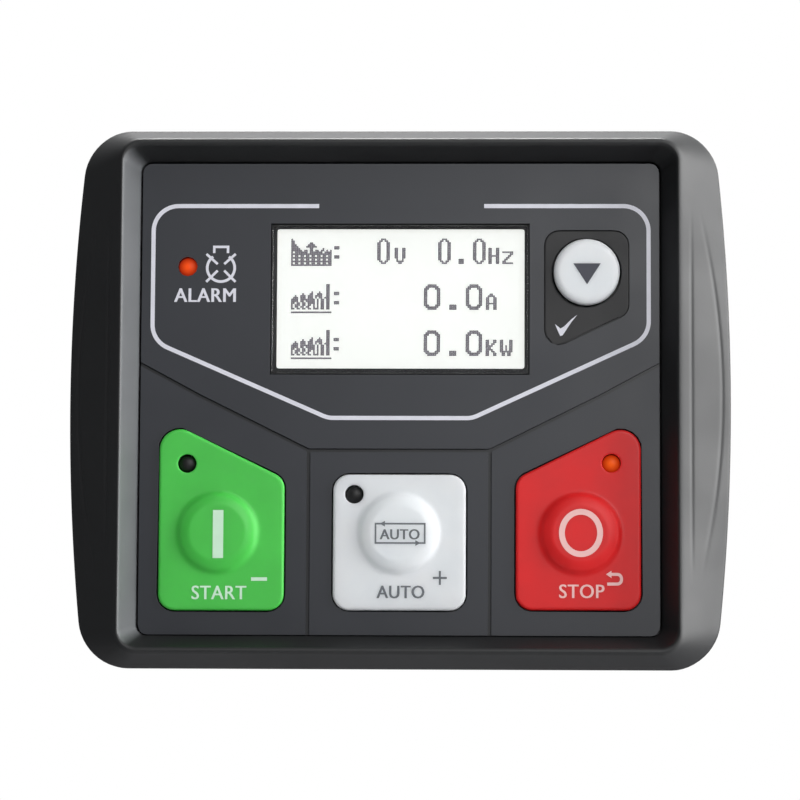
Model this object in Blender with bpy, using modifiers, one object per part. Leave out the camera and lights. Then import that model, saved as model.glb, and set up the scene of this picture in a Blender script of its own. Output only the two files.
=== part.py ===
"""A genset controller for mounting in a panel, built from its separate pieces.

Metres, +Z up. The front faces -Y. The panel's front surface is the plane Y = 0, so what stands
in front of the panel has a negative Y and what goes through the cut-out has a positive Y. The
origin is the middle of the panel's cut-out in that plane.
"""

import math

import bmesh
import bpy
from mathutils import Matrix, Vector

# Clearances
FIT_GAP = 0.0003  # between pieces that rest on each other or sit in one another
CUTOUT_GAP = 0.0003  # between the body and the edge of the panel's cut-out
SLEEVE_GAP = 0.0004  # between a screw's thread and a plain hole round it

# Panel and its cut-out
CUTOUT_WIDTH = 0.0920
CUTOUT_HEIGHT = 0.0760
PANEL_THICKNESS = 0.0030

# Face recess and the frame round it
FACE_IN_FROM_CUTOUT = 0.00255
FACE_PAST_CUTOUT = 0.0016
FACE_WIDTH = CUTOUT_WIDTH - 2 * FACE_IN_FROM_CUTOUT
FACE_HEIGHT = CUTOUT_HEIGHT + 2 * FACE_PAST_CUTOUT
FACE_CORNER = 0.0018
INNER_SLOPE_SIDE = 0.0028
INNER_SLOPE_TOP = 0.0024
CREST_WIDTH = 0.0004
CREST_ROUNDING = 0.0005
CREST_CORNER = 0.0036
OUTER_SLOPE_SIDE = 0.0084
OUTER_SLOPE_TOP = 0.0026
OUTER_CORNER = 0.0075
SIDE_BOW_RADIUS = 0.370

# Depths in front of the panel
GASKET_THICKNESS = 0.0015
GASKET_PROUD = 0.0009
FLANGE_EDGE = 0.0035
EDGE_ROUNDING = 0.00035
GASKET_LIP = 0.0014
FLOOR_FROM_PANEL = 0.0016
FLOOR_THICKNESS = 0.0020
FACE_THICKNESS = 0.0016
FACE_RECESS = 0.0050

# Body behind the flange
WALL = 0.0024
BODY_CORNER = 0.0030
SKIRT_DEPTH = 0.0080
LAP_DEPTH = 0.0024
LAP_THICKNESS = 0.0011
CASE_DEPTH = 0.0340
CASE_EDGE = 0.0008

# Hollows behind the side slopes, parted by ribs
HOLLOW_FROM_END = 0.0110
HOLLOW_COUNT = 4
RIB_THICKNESS = 0.0016
HOLLOW_SKIN = 0.0020
HOLLOW_SLOPE_SKIN = 0.0020
HOLLOW_LEDGE = 0.0006

# Pads, keys and lamps on the face
PAD_PROUD = 0.0005
PAD_CORNER = 0.0027
PAD_ROUNDING = 0.00035
PAD_BOTTOM_MARGIN = 0.0042
SIDE_PAD_MARGIN = 0.00335
SIDE_PAD_WIDTH = FACE_WIDTH * 0.2417
SIDE_PAD_DROP = 0.0103
AUTO_PAD_WIDTH = FACE_WIDTH * 0.2532
AUTO_PAD_HEIGHT = 0.0225
KEY_FROM_PAD_BOTTOM = 0.01275
KEY_OFF_CENTRE = 0.00045
KEY_RADIUS = FACE_WIDTH * 0.0788
KEY_SLOPE = 0.00135
KEY_PROUD = 0.0011
KEY_NECK = 0.00085
KEY_FLANGE_LIP = 0.0010
KEY_FLANGE_THICKNESS = 0.0012
KEY_TRAVEL = 0.0009
TRAVEL_SPARE = 0.0001
PAGE_KEY_RADIUS = FACE_WIDTH * 0.0633
PAGE_KEY_SLOPE = 0.0007
PAGE_KEY_FROM_SIDE = FACE_WIDTH * 0.1421
PAGE_KEY_FROM_TOP = 0.0186
PAGE_PAD_MARGIN = FACE_WIDTH * 0.0783
PAGE_PAD_DROP = 0.0064
PAGE_PAD_CORNER = 0.0022
PAGE_PAD_RECESS = 0.0003
BOSS_RADIUS = 0.0034
BOSS_LENGTH = 0.0012
PILL_RADIUS = 0.0025
PILL_THICKNESS = 0.0007
PILL_POCKET = 0.0005

LAMP_RADIUS = 0.00145
LAMP_HOLE_GAP = 0.0002
LAMP_SETBACK = 0.0004
LAMP_DOME = 0.0008
LAMP_FLANGE_RADIUS = 0.0019
LAMP_FLANGE_THICKNESS = 0.0008
LAMP_LEG = 0.0005
LAMP_LEG_PITCH = 0.00127
ALARM_LAMP_FROM_SIDE = FACE_WIDTH * 0.0915
ALARM_LAMP_FROM_TOP = 0.01765
SIDE_LAMP_FROM_OUTER = FACE_WIDTH * 0.057
SIDE_LAMP_ABOVE_KEY = 0.0117
SIDE_LAMP_FROM_TOP = 0.00765
AUTO_LAMP_FROM_SIDE = FACE_WIDTH * 0.0414
AUTO_LAMP_FROM_TOP = 0.0033

# Grooves in the face
GROOVE_WIDTH = 0.0006
GROOVE_DEPTH = 0.0005
GROOVE_KINK_X = FACE_WIDTH * 0.3832
GROOVE_KINK_HEIGHT = 0.0356
GROOVE_END_HEIGHT = 0.0414

# Display
WINDOW_WIDTH = FACE_WIDTH * 0.4902
WINDOW_HEIGHT = 0.0248
WINDOW_FROM_TOP = 0.0107
WINDOW_SETBACK = 0.0003
VIEW_RIM_SIDE = 0.0008
VIEW_RIM_TOP = 0.00085
VIEW_WIDTH = WINDOW_WIDTH - 2 * VIEW_RIM_SIDE
VIEW_HEIGHT = WINDOW_HEIGHT - 2 * VIEW_RIM_TOP
CELL_RIM_SIDE = 0.0025
CELL_RIM_TOP = 0.00295
CELL_WIDTH = VIEW_WIDTH + 2 * CELL_RIM_SIDE
CELL_HEIGHT = VIEW_HEIGHT + 2 * CELL_RIM_TOP
CELL_THICKNESS = 0.0020
CELL_POCKET = 0.0012

# Key board and the keypad sheet in front of it
BOARD_THICKNESS = 0.0016
BOARD_EDGE_GAP = 0.0010
SHEET_THICKNESS = 0.0015
SHEET_MARGIN = 0.0015
SHEET_TOP_MARGIN = 0.00085
BOARD_SCREW_RADIUS = 0.0009
BOARD_SCREW_HEAD = 0.0019
BOARD_SCREW_HEAD_HEIGHT = 0.0013
BOARD_SCREW_LENGTH = 0.0052
BOARD_BOSS_RADIUS = 0.0022
UPPER_BOSS_FROM_POST = 0.0066
UPPER_BOSS_FROM_WALL = 0.0041
LOWER_BOSS_FROM_WALL = 0.0071

# Corner posts, pillars and the long screws through them
POST_RADIUS = 0.0032
POST_WALL_GAP = 0.0005
MAIN_BOARD_FRONT = 0.0140
PILLAR_RADIUS = 0.0044
CASE_SCREW_RADIUS = 0.0013
CASE_SCREW_HEAD = 0.0026
CASE_SCREW_HEAD_HEIGHT = 0.0020
CASE_SCREW_TIP = 0.0063
COUNTERBORE_DEPTH = 0.0040

# Parts on the boards
LINK_PINS = 10
LINK_PITCH = 0.00254
LINK_PIN = 0.00064
LINK_DEPTH = 0.0026
LINK_BASE = 0.0025
LINK_Z = 0.0080
CHIP_SIDE = 0.0140
CHIP_THICKNESS = 0.0014
CHIP_FROM_BOARD_EDGE = 0.0183
CHIP_Z = 0.0080
RELAY_FROM_BACK = 0.0007
RELAY_HEIGHT = 0.0155
RELAY_COUNT = 3
RELAY_SPACING = 0.0030
RELAYS_FROM_WALL = 0.0068
CAPACITOR_RADIUS = 0.0050
CAPACITOR_FROM_WALL = 0.0088
CAPACITOR_Z = 0.0070

# Terminals
TERMINAL_PITCH = 0.00508
ROW_END_MARGIN = 0.0035
FEWER_UPPER_WAYS = 4
TERMINAL_ROW_FROM_WALL = 0.0113
SOCKET_WALL = 0.0009
SOCKET_HEIGHT = 0.0084
SOCKET_PROUD = 0.0006
SOCKET_CAVITY = 0.0080
TERMINAL_PIN = 0.0010
TERMINAL_PIN_LENGTH = 0.0060
PLUG_HEIGHT = 0.0104
PLUG_LENGTH = 0.0105
PLUG_END = 0.0005
WIRE_ENTRY_WIDTH = 0.0034
WIRE_ENTRY_HEIGHT = 0.0032
WIRE_ENTRY_DEPTH = 0.0060
WIRE_ENTRY_OFFSET = 0.0010
CLAMP_HOLE_RADIUS = 0.0017
CLAMP_HOLE_DEPTH = 0.0012
USB_FROM_ROW_END = 0.0065
USB_WIDTH = 0.0080
USB_HEIGHT = 0.0042
USB_WALL = 0.00055
USB_CAVITY = 0.0070
USB_TONGUE = 0.0009

# Vents in the rear case
VENT_COUNT = 9
VENT_PITCH = 0.0050
VENT_WIDTH = 0.0016
VENT_START = 0.0170
VENT_FROM_BACK = 0.0070

# Fixing clips and their jack screws
CLIP_THICKNESS = 0.0022
CLIP_START = 0.0140
CLIP_FROM_BACK = 0.0030
CLIP_HALF_HEIGHT = 0.0065
LUG_LENGTH = 0.0080
LUG_REACH = 0.0060
LUG_HALF_HEIGHT = 0.0045
HOOK_THICKNESS = 0.0017
HOOK_HALF_HEIGHT = 0.0030
HOOK_TIP = 0.0016
HOOK_FROM_END = 0.0040
JACK_RADIUS = 0.0019
JACK_HEAD_RADIUS = 0.0035
JACK_HEAD_HEIGHT = 0.0024
JACK_X_FROM_CLIP = 0.0028

# How finely the round shapes are drawn
ARC_STEPS = 4
ROUND_STEPS = 24
SMALL_STEPS = 12
EDGE_STEPS = 6
DOME_TURNS = [math.radians(turn) for turn in (0, 30, 60, 90)]

# Planes along Y, worked out from the depths
GROOVE_FLOOR = -(GASKET_THICKNESS + FIT_GAP)
GASKET_FRONT = -GASKET_THICKNESS
FLANGE_BACK = -GASKET_PROUD
FLANGE_FRONT = FLANGE_BACK - FLANGE_EDGE
FLOOR_BACK = -FLOOR_FROM_PANEL
FLOOR_FRONT = FLOOR_BACK - FLOOR_THICKNESS
FACE_BACK = FLOOR_FRONT - FIT_GAP
FACE_FRONT = FACE_BACK - FACE_THICKNESS
CREST_FRONT = FACE_FRONT - FACE_RECESS
PAD_FRONT = FACE_FRONT - PAD_PROUD
PAGE_PAD_FRONT = FACE_FRONT + PAGE_PAD_RECESS
KEY_FRONT = PAD_FRONT - KEY_PROUD
KEY_FLANGE_FRONT = FLOOR_BACK + FIT_GAP
KEY_FLANGE_BACK = KEY_FLANGE_FRONT + KEY_FLANGE_THICKNESS
KEY_BACK = KEY_FLANGE_BACK + BOSS_LENGTH
SHEET_BACK = KEY_FLANGE_FRONT + SHEET_THICKNESS
LAMP_BACK = SHEET_BACK + FIT_GAP + LAMP_FLANGE_THICKNESS
PILL_FRONT = KEY_BACK - PILL_POCKET + FIT_GAP
PILL_BACK = PILL_FRONT + PILL_THICKNESS
BOARD_FRONT = PILL_BACK + KEY_TRAVEL + TRAVEL_SPARE
BOARD_BACK = BOARD_FRONT + BOARD_THICKNESS
BOARD_SCREW_SEAT = BOARD_BACK + FIT_GAP
BOARD_SCREW_TIP = BOARD_SCREW_SEAT - BOARD_SCREW_LENGTH
CELL_FRONT = FLOOR_BACK - CELL_POCKET + FIT_GAP
CELL_BACK = CELL_FRONT + CELL_THICKNESS
MAIN_BOARD_BACK = MAIN_BOARD_FRONT + BOARD_THICKNESS
CASE_INNER_BACK = CASE_DEPTH - WALL
CASE_SCREW_SEAT = CASE_DEPTH - COUNTERBORE_DEPTH + FIT_GAP
CASE_SCREW_LENGTH = CASE_SCREW_SEAT - CASE_SCREW_TIP
RELAY_DEPTH = CASE_INNER_BACK - MAIN_BOARD_BACK - FIT_GAP - RELAY_FROM_BACK
CAPACITOR_LENGTH = RELAY_DEPTH
JACK_LENGTH = CASE_DEPTH - PANEL_THICKNESS
CLIP_END = CASE_DEPTH - CLIP_FROM_BACK
HOOK_STARTS = (CLIP_START + HOOK_FROM_END, CLIP_END - HOOK_FROM_END)
VENT_END = CASE_DEPTH - VENT_FROM_BACK
SOCKET_END = CASE_DEPTH + SOCKET_PROUD
PLUG_FRONT = SOCKET_END + FIT_GAP

# Sizes that follow from others
KEY_TOP_RADIUS = KEY_RADIUS - KEY_SLOPE
PAGE_KEY_TOP_RADIUS = PAGE_KEY_RADIUS - PAGE_KEY_SLOPE

# Half sizes of the nested outlines, as (half width, half height)
FACE_HALF = (FACE_WIDTH / 2, FACE_HEIGHT / 2)
CREST_INNER = (FACE_HALF[0] + INNER_SLOPE_SIDE, FACE_HALF[1] + INNER_SLOPE_TOP)
CREST_OUTER = (CREST_INNER[0] + CREST_WIDTH, CREST_INNER[1] + CREST_WIDTH)
FRONT_HALF = (CREST_OUTER[0] + OUTER_SLOPE_SIDE, CREST_OUTER[1] + OUTER_SLOPE_TOP)
BODY_HALF = (CUTOUT_WIDTH / 2 - CUTOUT_GAP, CUTOUT_HEIGHT / 2 - CUTOUT_GAP)
INNER_HALF = (BODY_HALF[0] - WALL, BODY_HALF[1] - WALL)
LAP_HALF = (INNER_HALF[0] + LAP_THICKNESS, INNER_HALF[1] + LAP_THICKNESS)
POST_AT = (
    INNER_HALF[0] - POST_RADIUS - POST_WALL_GAP,
    INNER_HALF[1] - POST_RADIUS - POST_WALL_GAP,
)
HOLLOW_SPAN = 2 * (FRONT_HALF[1] - HOLLOW_FROM_END)

# Places on the face
PAD_BOTTOM = -FACE_HALF[1] + PAD_BOTTOM_MARGIN
SIDE_PAD_OUTER = FACE_HALF[0] - SIDE_PAD_MARGIN
SIDE_PAD_INNER = SIDE_PAD_OUTER - SIDE_PAD_WIDTH
SIDE_KEY_X = SIDE_PAD_OUTER - SIDE_PAD_WIDTH / 2 + KEY_OFF_CENTRE
KEY_Z = PAD_BOTTOM + KEY_FROM_PAD_BOTTOM
PAGE_KEY_X = FACE_HALF[0] - PAGE_KEY_FROM_SIDE
PAGE_KEY_Z = FACE_HALF[1] - PAGE_KEY_FROM_TOP
WINDOW_Z = FACE_HALF[1] - WINDOW_FROM_TOP - WINDOW_HEIGHT / 2
AUTO_PAD_TOP = PAD_BOTTOM + AUTO_PAD_HEIGHT
GROOVE_X = (AUTO_PAD_WIDTH / 2 + SIDE_PAD_INNER) / 2
GROOVE_Z = AUTO_PAD_TOP + GROOVE_X - AUTO_PAD_WIDTH / 2
GROOVE_KINK_Z = PAD_BOTTOM + GROOVE_KINK_HEIGHT
GROOVE_END_Z = PAD_BOTTOM + GROOVE_END_HEIGHT

KEYS = {
    "start": (-SIDE_KEY_X, KEY_Z, KEY_RADIUS, KEY_TOP_RADIUS),
    "auto": (0.0, KEY_Z, KEY_RADIUS, KEY_TOP_RADIUS),
    "stop": (SIDE_KEY_X, KEY_Z, KEY_RADIUS, KEY_TOP_RADIUS),
    "page": (PAGE_KEY_X, PAGE_KEY_Z, PAGE_KEY_RADIUS, PAGE_KEY_TOP_RADIUS),
}
SIDE_LAMP_X = SIDE_PAD_OUTER - SIDE_LAMP_FROM_OUTER
SIDE_LAMP_Z = KEY_Z + SIDE_LAMP_ABOVE_KEY
SIDE_PAD_TOP = SIDE_LAMP_Z + SIDE_LAMP_FROM_TOP
LAMPS = {
    "alarm": (ALARM_LAMP_FROM_SIDE - FACE_HALF[0], FACE_HALF[1] - ALARM_LAMP_FROM_TOP),
    "start": (-SIDE_LAMP_X, SIDE_LAMP_Z),
    "auto": (AUTO_LAMP_FROM_SIDE - AUTO_PAD_WIDTH / 2, AUTO_PAD_TOP - AUTO_LAMP_FROM_TOP),
    "stop": (SIDE_LAMP_X, SIDE_LAMP_Z),
}
UPPER_BOSS = (POST_AT[0] - UPPER_BOSS_FROM_POST, INNER_HALF[1] - UPPER_BOSS_FROM_WALL)
LOWER_BOSS = (SIDE_KEY_X / 2, LOWER_BOSS_FROM_WALL - INNER_HALF[1])
BOARD_SCREWS = [(side * x, z) for x, z in (UPPER_BOSS, LOWER_BOSS) for side in (-1, 1)]
CORNERS = [(side * POST_AT[0], end * POST_AT[1]) for end in (1, -1) for side in (-1, 1)]
ROW_ROOM = 2 * (POST_AT[0] - PILLAR_RADIUS - SOCKET_WALL - ROW_END_MARGIN)
LOWER_WAYS = int(ROW_ROOM / TERMINAL_PITCH)
UPPER_WAYS = LOWER_WAYS - FEWER_UPPER_WAYS
TERMINAL_ROW_Z = INNER_HALF[1] - TERMINAL_ROW_FROM_WALL
ROWS = {
    "upper": (-FEWER_UPPER_WAYS * TERMINAL_PITCH / 2, TERMINAL_ROW_Z, UPPER_WAYS),
    "lower": (0.0, -TERMINAL_ROW_Z, LOWER_WAYS),
}
CHIP_X = CHIP_FROM_BOARD_EDGE + BOARD_EDGE_GAP - INNER_HALF[0]
USB_X = LOWER_WAYS * TERMINAL_PITCH / 2 - USB_FROM_ROW_END
CAPACITOR_X = INNER_HALF[0] - CAPACITOR_FROM_WALL
RELAYS_START = RELAYS_FROM_WALL - INNER_HALF[0]
RELAY_PITCH = (CAPACITOR_X - CAPACITOR_RADIUS - RELAYS_START) / RELAY_COUNT

FACING_FRONT = (math.pi / 2, 0, 0)  # turns local +Z to the front, -Y
FACING_BACK = (-math.pi / 2, 0, 0)  # turns local +Z to the back, +Y


def start_scene():
    """Empties the scene and gives it the two collections."""
    for obj in list(bpy.data.objects):
        bpy.data.objects.remove(obj, do_unlink=True)
    made = {}
    for name in ("genset_controller", "cutters"):
        made[name] = bpy.data.collections.new(name)
        bpy.context.scene.collection.children.link(made[name])
    return made["genset_controller"], made["cutters"]


PIECES, HELPERS = start_scene()


def linear(channel):
    """One sRGB channel from 0 to 255 as a linear value."""
    share = channel / 255
    return share / 12.92 if share <= 0.04045 else ((share + 0.055) / 1.055) ** 2.4


def finish(name, colour, roughness, metallic=0.0, see_through=0.0):
    """A Principled material with its colour given as a six-digit sRGB hex."""
    material = bpy.data.materials.new(name)
    material.use_nodes = True
    shader = material.node_tree.nodes["Principled BSDF"]
    channels = [linear(int(colour[i : i + 2], 16)) for i in (0, 2, 4)]
    shader.inputs["Base Color"].default_value = (*channels, 1)
    shader.inputs["Roughness"].default_value = roughness
    shader.inputs["Metallic"].default_value = metallic
    shader.inputs["Transmission Weight"].default_value = see_through
    material.diffuse_color = (*channels, 1)
    return material


BLACK_PLASTIC = finish("black_abs", "202225", 0.42)
GREY_FACE = finish("dark_grey_face", "3c3e46", 0.55)
GREEN_SILICONE = finish("green_silicone", "4cb648", 0.5)
WHITE_SILICONE = finish("white_silicone", "dde1e8", 0.5)
RED_SILICONE = finish("red_silicone", "d63a36", 0.5)
DARK_SILICONE = finish("dark_silicone", "393a3c", 0.6)
CARBON = finish("carbon_rubber", "1c1c1d", 0.7)
GASKET_RUBBER = finish("gasket_rubber", "232323", 0.85)
CLEAR_PLASTIC = finish("clear_polycarbonate", "f2f4f6", 0.05, see_through=1.0)
DISPLAY_GLASS = finish("display_glass", "eef1f2", 0.12)
WHITE_PLASTIC = finish("white_plastic", "e8eaec", 0.4)
LAMP_LIT = finish("orange_lamp", "ff4a1a", 0.2)
LAMP_DARK = finish("unlit_lamp", "1d1b1b", 0.25)
BOARD_LAMINATE = finish("board_laminate", "1c5a34", 0.45)
CHIP_BLACK = finish("chip_black", "26272a", 0.6)
RELAY_BLUE = finish("relay_blue", "2b5a9c", 0.4)
CAN_ALUMINIUM = finish("can_aluminium", "b9bcc2", 0.3, metallic=1.0)
PLATED_STEEL = finish("plated_steel", "c2c4c6", 0.3, metallic=1.0)
TERMINAL_GREEN = finish("terminal_green", "2f8a4a", 0.5)
CLIP_NYLON = finish("clip_nylon", "2a2b2d", 0.55)


def evaluated_mesh(obj):
    """The mesh of an object with its modifiers, after which the object is removed."""
    bpy.context.view_layer.update()
    graph = bpy.context.evaluated_depsgraph_get()
    mesh = bpy.data.meshes.new_from_object(obj.evaluated_get(graph))
    mesh.name = obj.name
    bpy.data.objects.remove(obj, do_unlink=True)
    return mesh


def add(name, mesh, material, location=(0, 0, 0), rotation=(0, 0, 0)):
    """An object of the controller, with its material and smooth round sides."""
    obj = bpy.data.objects.new(name, mesh)
    PIECES.objects.link(obj)
    obj.location = location
    obj.rotation_euler = rotation
    mesh.materials.clear()
    mesh.materials.append(material)
    mesh.shade_smooth()
    mesh.set_sharp_from_angle(angle=math.radians(32))
    return obj


def helper(mesh, location=(0, 0, 0), rotation=(0, 0, 0)):
    """An object that only cuts or joins another, kept out of renders."""
    obj = bpy.data.objects.new(mesh.name, mesh)
    HELPERS.objects.link(obj)
    obj.location = location
    obj.rotation_euler = rotation
    obj.hide_render = True
    obj.display_type = "WIRE"
    return obj


def combine(obj, other, operation):
    modifier = obj.modifiers.new(other.name, "BOOLEAN")
    modifier.operation = operation
    modifier.object = other


def cut(obj, *cutters):
    for cutter in cutters:
        combine(obj, cutter, "DIFFERENCE")


def join(obj, *others):
    for other in others:
        combine(obj, other, "UNION")


def mesh_of(name, bm):
    """A mesh from bmesh data, with its faces pointing out."""
    bmesh.ops.recalc_face_normals(bm, faces=bm.faces)
    mesh = bpy.data.meshes.new(name)
    bm.to_mesh(mesh)
    bm.free()
    return mesh


def circle(x, z, radius, steps=ROUND_STEPS):
    turns = [2 * math.pi * step / steps for step in range(steps)]
    return [(x + radius * math.cos(turn), z + radius * math.sin(turn)) for turn in turns]


def rectangle(half_width, half_height, x=0.0, z=0.0):
    """The corners of a rectangle, anticlockwise from the lower left."""
    signs = ((-1, -1), (1, -1), (1, 1), (-1, 1))
    return [(x + a * half_width, z + b * half_height) for a, b in signs]


def grown(corners, by):
    """The corners of a polygon whose sides lie further out. Its corners run anticlockwise."""
    moved = []
    for i, corner in enumerate(corners):
        here = Vector(corner)
        into = (here - Vector(corners[i - 1])).normalized()
        away = (Vector(corners[(i + 1) % len(corners)]) - here).normalized()
        normal_into = Vector((into.y, -into.x))
        normal_away = Vector((away.y, -away.x))
        mitre = (normal_into + normal_away) / (1 + normal_into.dot(normal_away))
        moved.append(tuple(here + mitre * by))
    return moved


def rounded(corners, radius, steps=ARC_STEPS):
    """The outline of a polygon with each corner turned into an arc."""
    outline = []
    for i, corner in enumerate(corners):
        here = Vector(corner)
        before = (Vector(corners[i - 1]) - here).normalized()
        after = (Vector(corners[(i + 1) % len(corners)]) - here).normalized()
        half_angle = before.angle(after) / 2
        centre = here + (before + after).normalized() * radius / math.sin(half_angle)
        reach = radius / math.tan(half_angle)
        start = here + before * reach - centre
        end = here + after * reach - centre
        first = math.atan2(start.y, start.x)
        sweep = (math.atan2(end.y, end.x) - first + math.pi) % (2 * math.pi) - math.pi
        for step in range(steps + 1):
            angle = first + sweep * step / steps
            outline.append((centre.x + radius * math.cos(angle), centre.y + radius * math.sin(angle)))
    return outline


def stroke(points, width):
    """The outline of a line of that width through the points, mitred at its bends."""
    runs = [(Vector(b) - Vector(a)).normalized() for a, b in zip(points, points[1:])]
    normals = [Vector((run.y, -run.x)) for run in runs]
    left, right = [], []
    for point, into, away in zip(points, normals[:1] + normals, normals + normals[-1:]):
        mitre = (into + away) / (1 + into.dot(away)) * width / 2
        right.append(tuple(Vector(point) + mitre))
        left.append(tuple(Vector(point) - mitre))
    return right + left[::-1]


def flat_mesh(name, outlines, thickness):
    """A filled flat curve of closed outlines as a plate, its broad faces towards local Z."""
    curve = bpy.data.curves.new(name, "CURVE")
    curve.dimensions = "2D"
    curve.fill_mode = "BOTH"
    curve.extrude = thickness / 2
    for outline in outlines:
        spline = curve.splines.new("POLY")
        spline.points.add(len(outline) - 1)
        for point, (x, z) in zip(spline.points, outline):
            point.co = (x, z, 0, 1)
        spline.use_cyclic_u = True
    obj = bpy.data.objects.new(name, curve)
    HELPERS.objects.link(obj)
    return welded(evaluated_mesh(obj))


def welded(mesh):
    """The mesh with its doubled points made one and its faces pointing out."""
    bm = bmesh.new()
    bm.from_mesh(mesh)
    bmesh.ops.remove_doubles(bm, verts=bm.verts, dist=0.000002)
    bmesh.ops.recalc_face_normals(bm, faces=bm.faces)
    bm.to_mesh(mesh)
    bm.free()
    return mesh


def plate(name, outlines, front, back, material):
    """A plate between two planes along Y."""
    mesh = flat_mesh(name, outlines, back - front)
    return add(name, mesh, material, (0, (front + back) / 2, 0), FACING_FRONT)


def plate_helper(name, outlines, front, back):
    mesh = flat_mesh(name, outlines, back - front)
    return helper(mesh, (0, (front + back) / 2, 0), FACING_FRONT)


def boxes_mesh(name, boxes):
    """Separate boxes in one mesh, each given as its low and high corner."""
    bm = bmesh.new()
    for low, high in boxes:
        middle = (Vector(low) + Vector(high)) / 2
        size = Matrix.Diagonal((*(Vector(high) - Vector(low)), 1))
        bmesh.ops.create_cube(bm, size=1, matrix=Matrix.Translation(middle) @ size)
    return mesh_of(name, bm)


def centred_box(x, z, width, height, front, back):
    """A box's two corners from its middle across the front and its two ends along Y."""
    low = (x - width / 2, front, z - height / 2)
    return low, (x + width / 2, back, z + height / 2)


def rods_mesh(name, places, radius, front, back, steps=SMALL_STEPS):
    """Round rods along Y in one mesh, one at each (x, z)."""
    bm = bmesh.new()
    along_y = Matrix.Rotation(math.pi / 2, 4, "X")
    for x, z in places:
        middle = Matrix.Translation((x, (front + back) / 2, z))
        bmesh.ops.create_cone(
            bm,
            cap_ends=True,
            segments=steps,
            radius1=radius,
            radius2=radius,
            depth=back - front,
            matrix=middle @ along_y,
        )
    return mesh_of(name, bm)


def turned_mesh(name, profile, steps):
    """A profile of (radius, height) points turned about local Z. It runs from the top down."""
    mesh = bpy.data.meshes.new(name)
    points = [(radius, 0, height) for radius, height in profile]
    mesh.from_pydata(points, [(i, i + 1) for i in range(len(points) - 1)], [])
    obj = bpy.data.objects.new(name, mesh)
    HELPERS.objects.link(obj)
    screw = obj.modifiers.new("turn", "SCREW")
    screw.steps = steps
    screw.render_steps = steps
    screw.use_merge_vertices = True
    screw.merge_threshold = 0.000002
    return welded(evaluated_mesh(obj))


def lofted_mesh(name, rings, closed):
    """Bands of faces between rings of equally many points. A closed loft joins its last ring to
    its first, and an open one has its two ends capped."""
    bm = bmesh.new()
    rows = [[bm.verts.new(point) for point in ring] for ring in rings]
    pairs = list(zip(rows, rows[1:] + rows[:1])) if closed else list(zip(rows, rows[1:]))
    count = len(rows[0])
    for low, high in pairs:
        for i in range(count):
            j = (i + 1) % count
            bm.faces.new((low[i], low[j], high[j], high[i]))
    if not closed:
        bm.faces.new(rows[0])
        bm.faces.new(rows[-1])
    return mesh_of(name, bm)


def frame_ring(half, corner, y, bow_radius=None):
    """One ring of a loft: a rounded rectangle in the plane Y = y, whose two sides may bow out."""
    outline = rounded(rectangle(*half), corner)
    quarter = ARC_STEPS + 1
    ring = []
    for i, point in enumerate(outline):
        ring.append(point)
        if i + 1 in (2 * quarter, 4 * quarter):
            ring += between(point, outline[(i + 1) % len(outline)], EDGE_STEPS)
    if bow_radius:
        ring = [(x - x / half[0] * z * z / (2 * bow_radius), z) for x, z in ring]
    return [(x, y, z) for x, z in ring]


def between(first, last, steps):
    """The points that part a straight line into equal steps, without its ends."""
    shares = [step / steps for step in range(1, steps)]
    return [tuple(Vector(first).lerp(Vector(last), share)) for share in shares]


def inset(half, by):
    return half[0] - by, half[1] - by


def soften_front(obj, width):
    """Rounds the edges that run round the plate's front face."""
    mesh = obj.data
    top = max(vertex.co.z for vertex in mesh.vertices)
    bm = bmesh.new()
    bm.from_mesh(mesh)
    weights = bm.edges.layers.float.new("bevel_weight_edge")
    for edge in bm.edges:
        in_front = all(top - vertex.co.z < FIT_GAP / 100 for vertex in edge.verts)
        if in_front and edge.calc_face_angle(0) > math.radians(45):
            edge[weights] = 1.0
    bm.to_mesh(mesh)
    bm.free()
    bevel = obj.modifiers.new("soft_edge", "BEVEL")
    bevel.limit_method = "WEIGHT"
    bevel.width = width
    bevel.segments = 2


def bevelled(obj, width, segments=1):
    bevel = obj.modifiers.new("edges", "BEVEL")
    bevel.width = width
    bevel.segments = segments
    return obj


def stop_pad_corners():
    bottom, inner, outer = PAD_BOTTOM, SIDE_PAD_INNER, SIDE_PAD_OUTER
    return [(inner, bottom), (outer, bottom), (outer, SIDE_PAD_TOP), (inner, SIDE_PAD_TOP - SIDE_PAD_DROP)]


def start_pad_corners():
    """The mirror image of the pad on the right."""
    return [(-x, z) for x, z in reversed(stop_pad_corners())]


def auto_pad_corners():
    middle = PAD_BOTTOM + AUTO_PAD_HEIGHT / 2
    return rectangle(AUTO_PAD_WIDTH / 2, AUTO_PAD_HEIGHT / 2, 0.0, middle)


def page_pad_corners():
    """A square round the key whose lower side slopes down to the left."""
    corners = rectangle(PAGE_PAD_MARGIN, PAGE_PAD_MARGIN, PAGE_KEY_X, PAGE_KEY_Z)
    x, z = corners[0]
    return [(x, z - PAGE_PAD_DROP)] + corners[1:]


PADS = {
    "start": (start_pad_corners(), PAD_CORNER, PAD_FRONT, GREEN_SILICONE),
    "auto": (auto_pad_corners(), PAD_CORNER, PAD_FRONT, WHITE_SILICONE),
    "stop": (stop_pad_corners(), PAD_CORNER, PAD_FRONT, RED_SILICONE),
    "page": (page_pad_corners(), PAGE_PAD_CORNER, PAGE_PAD_FRONT, DARK_SILICONE),
}


def stem_radius(key_radius):
    return key_radius - KEY_NECK


def flange_radius(key_radius):
    return stem_radius(key_radius) + KEY_FLANGE_LIP


def lamp_hole(lamp):
    return circle(*LAMPS[lamp], LAMP_RADIUS + LAMP_HOLE_GAP, SMALL_STEPS)


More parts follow.
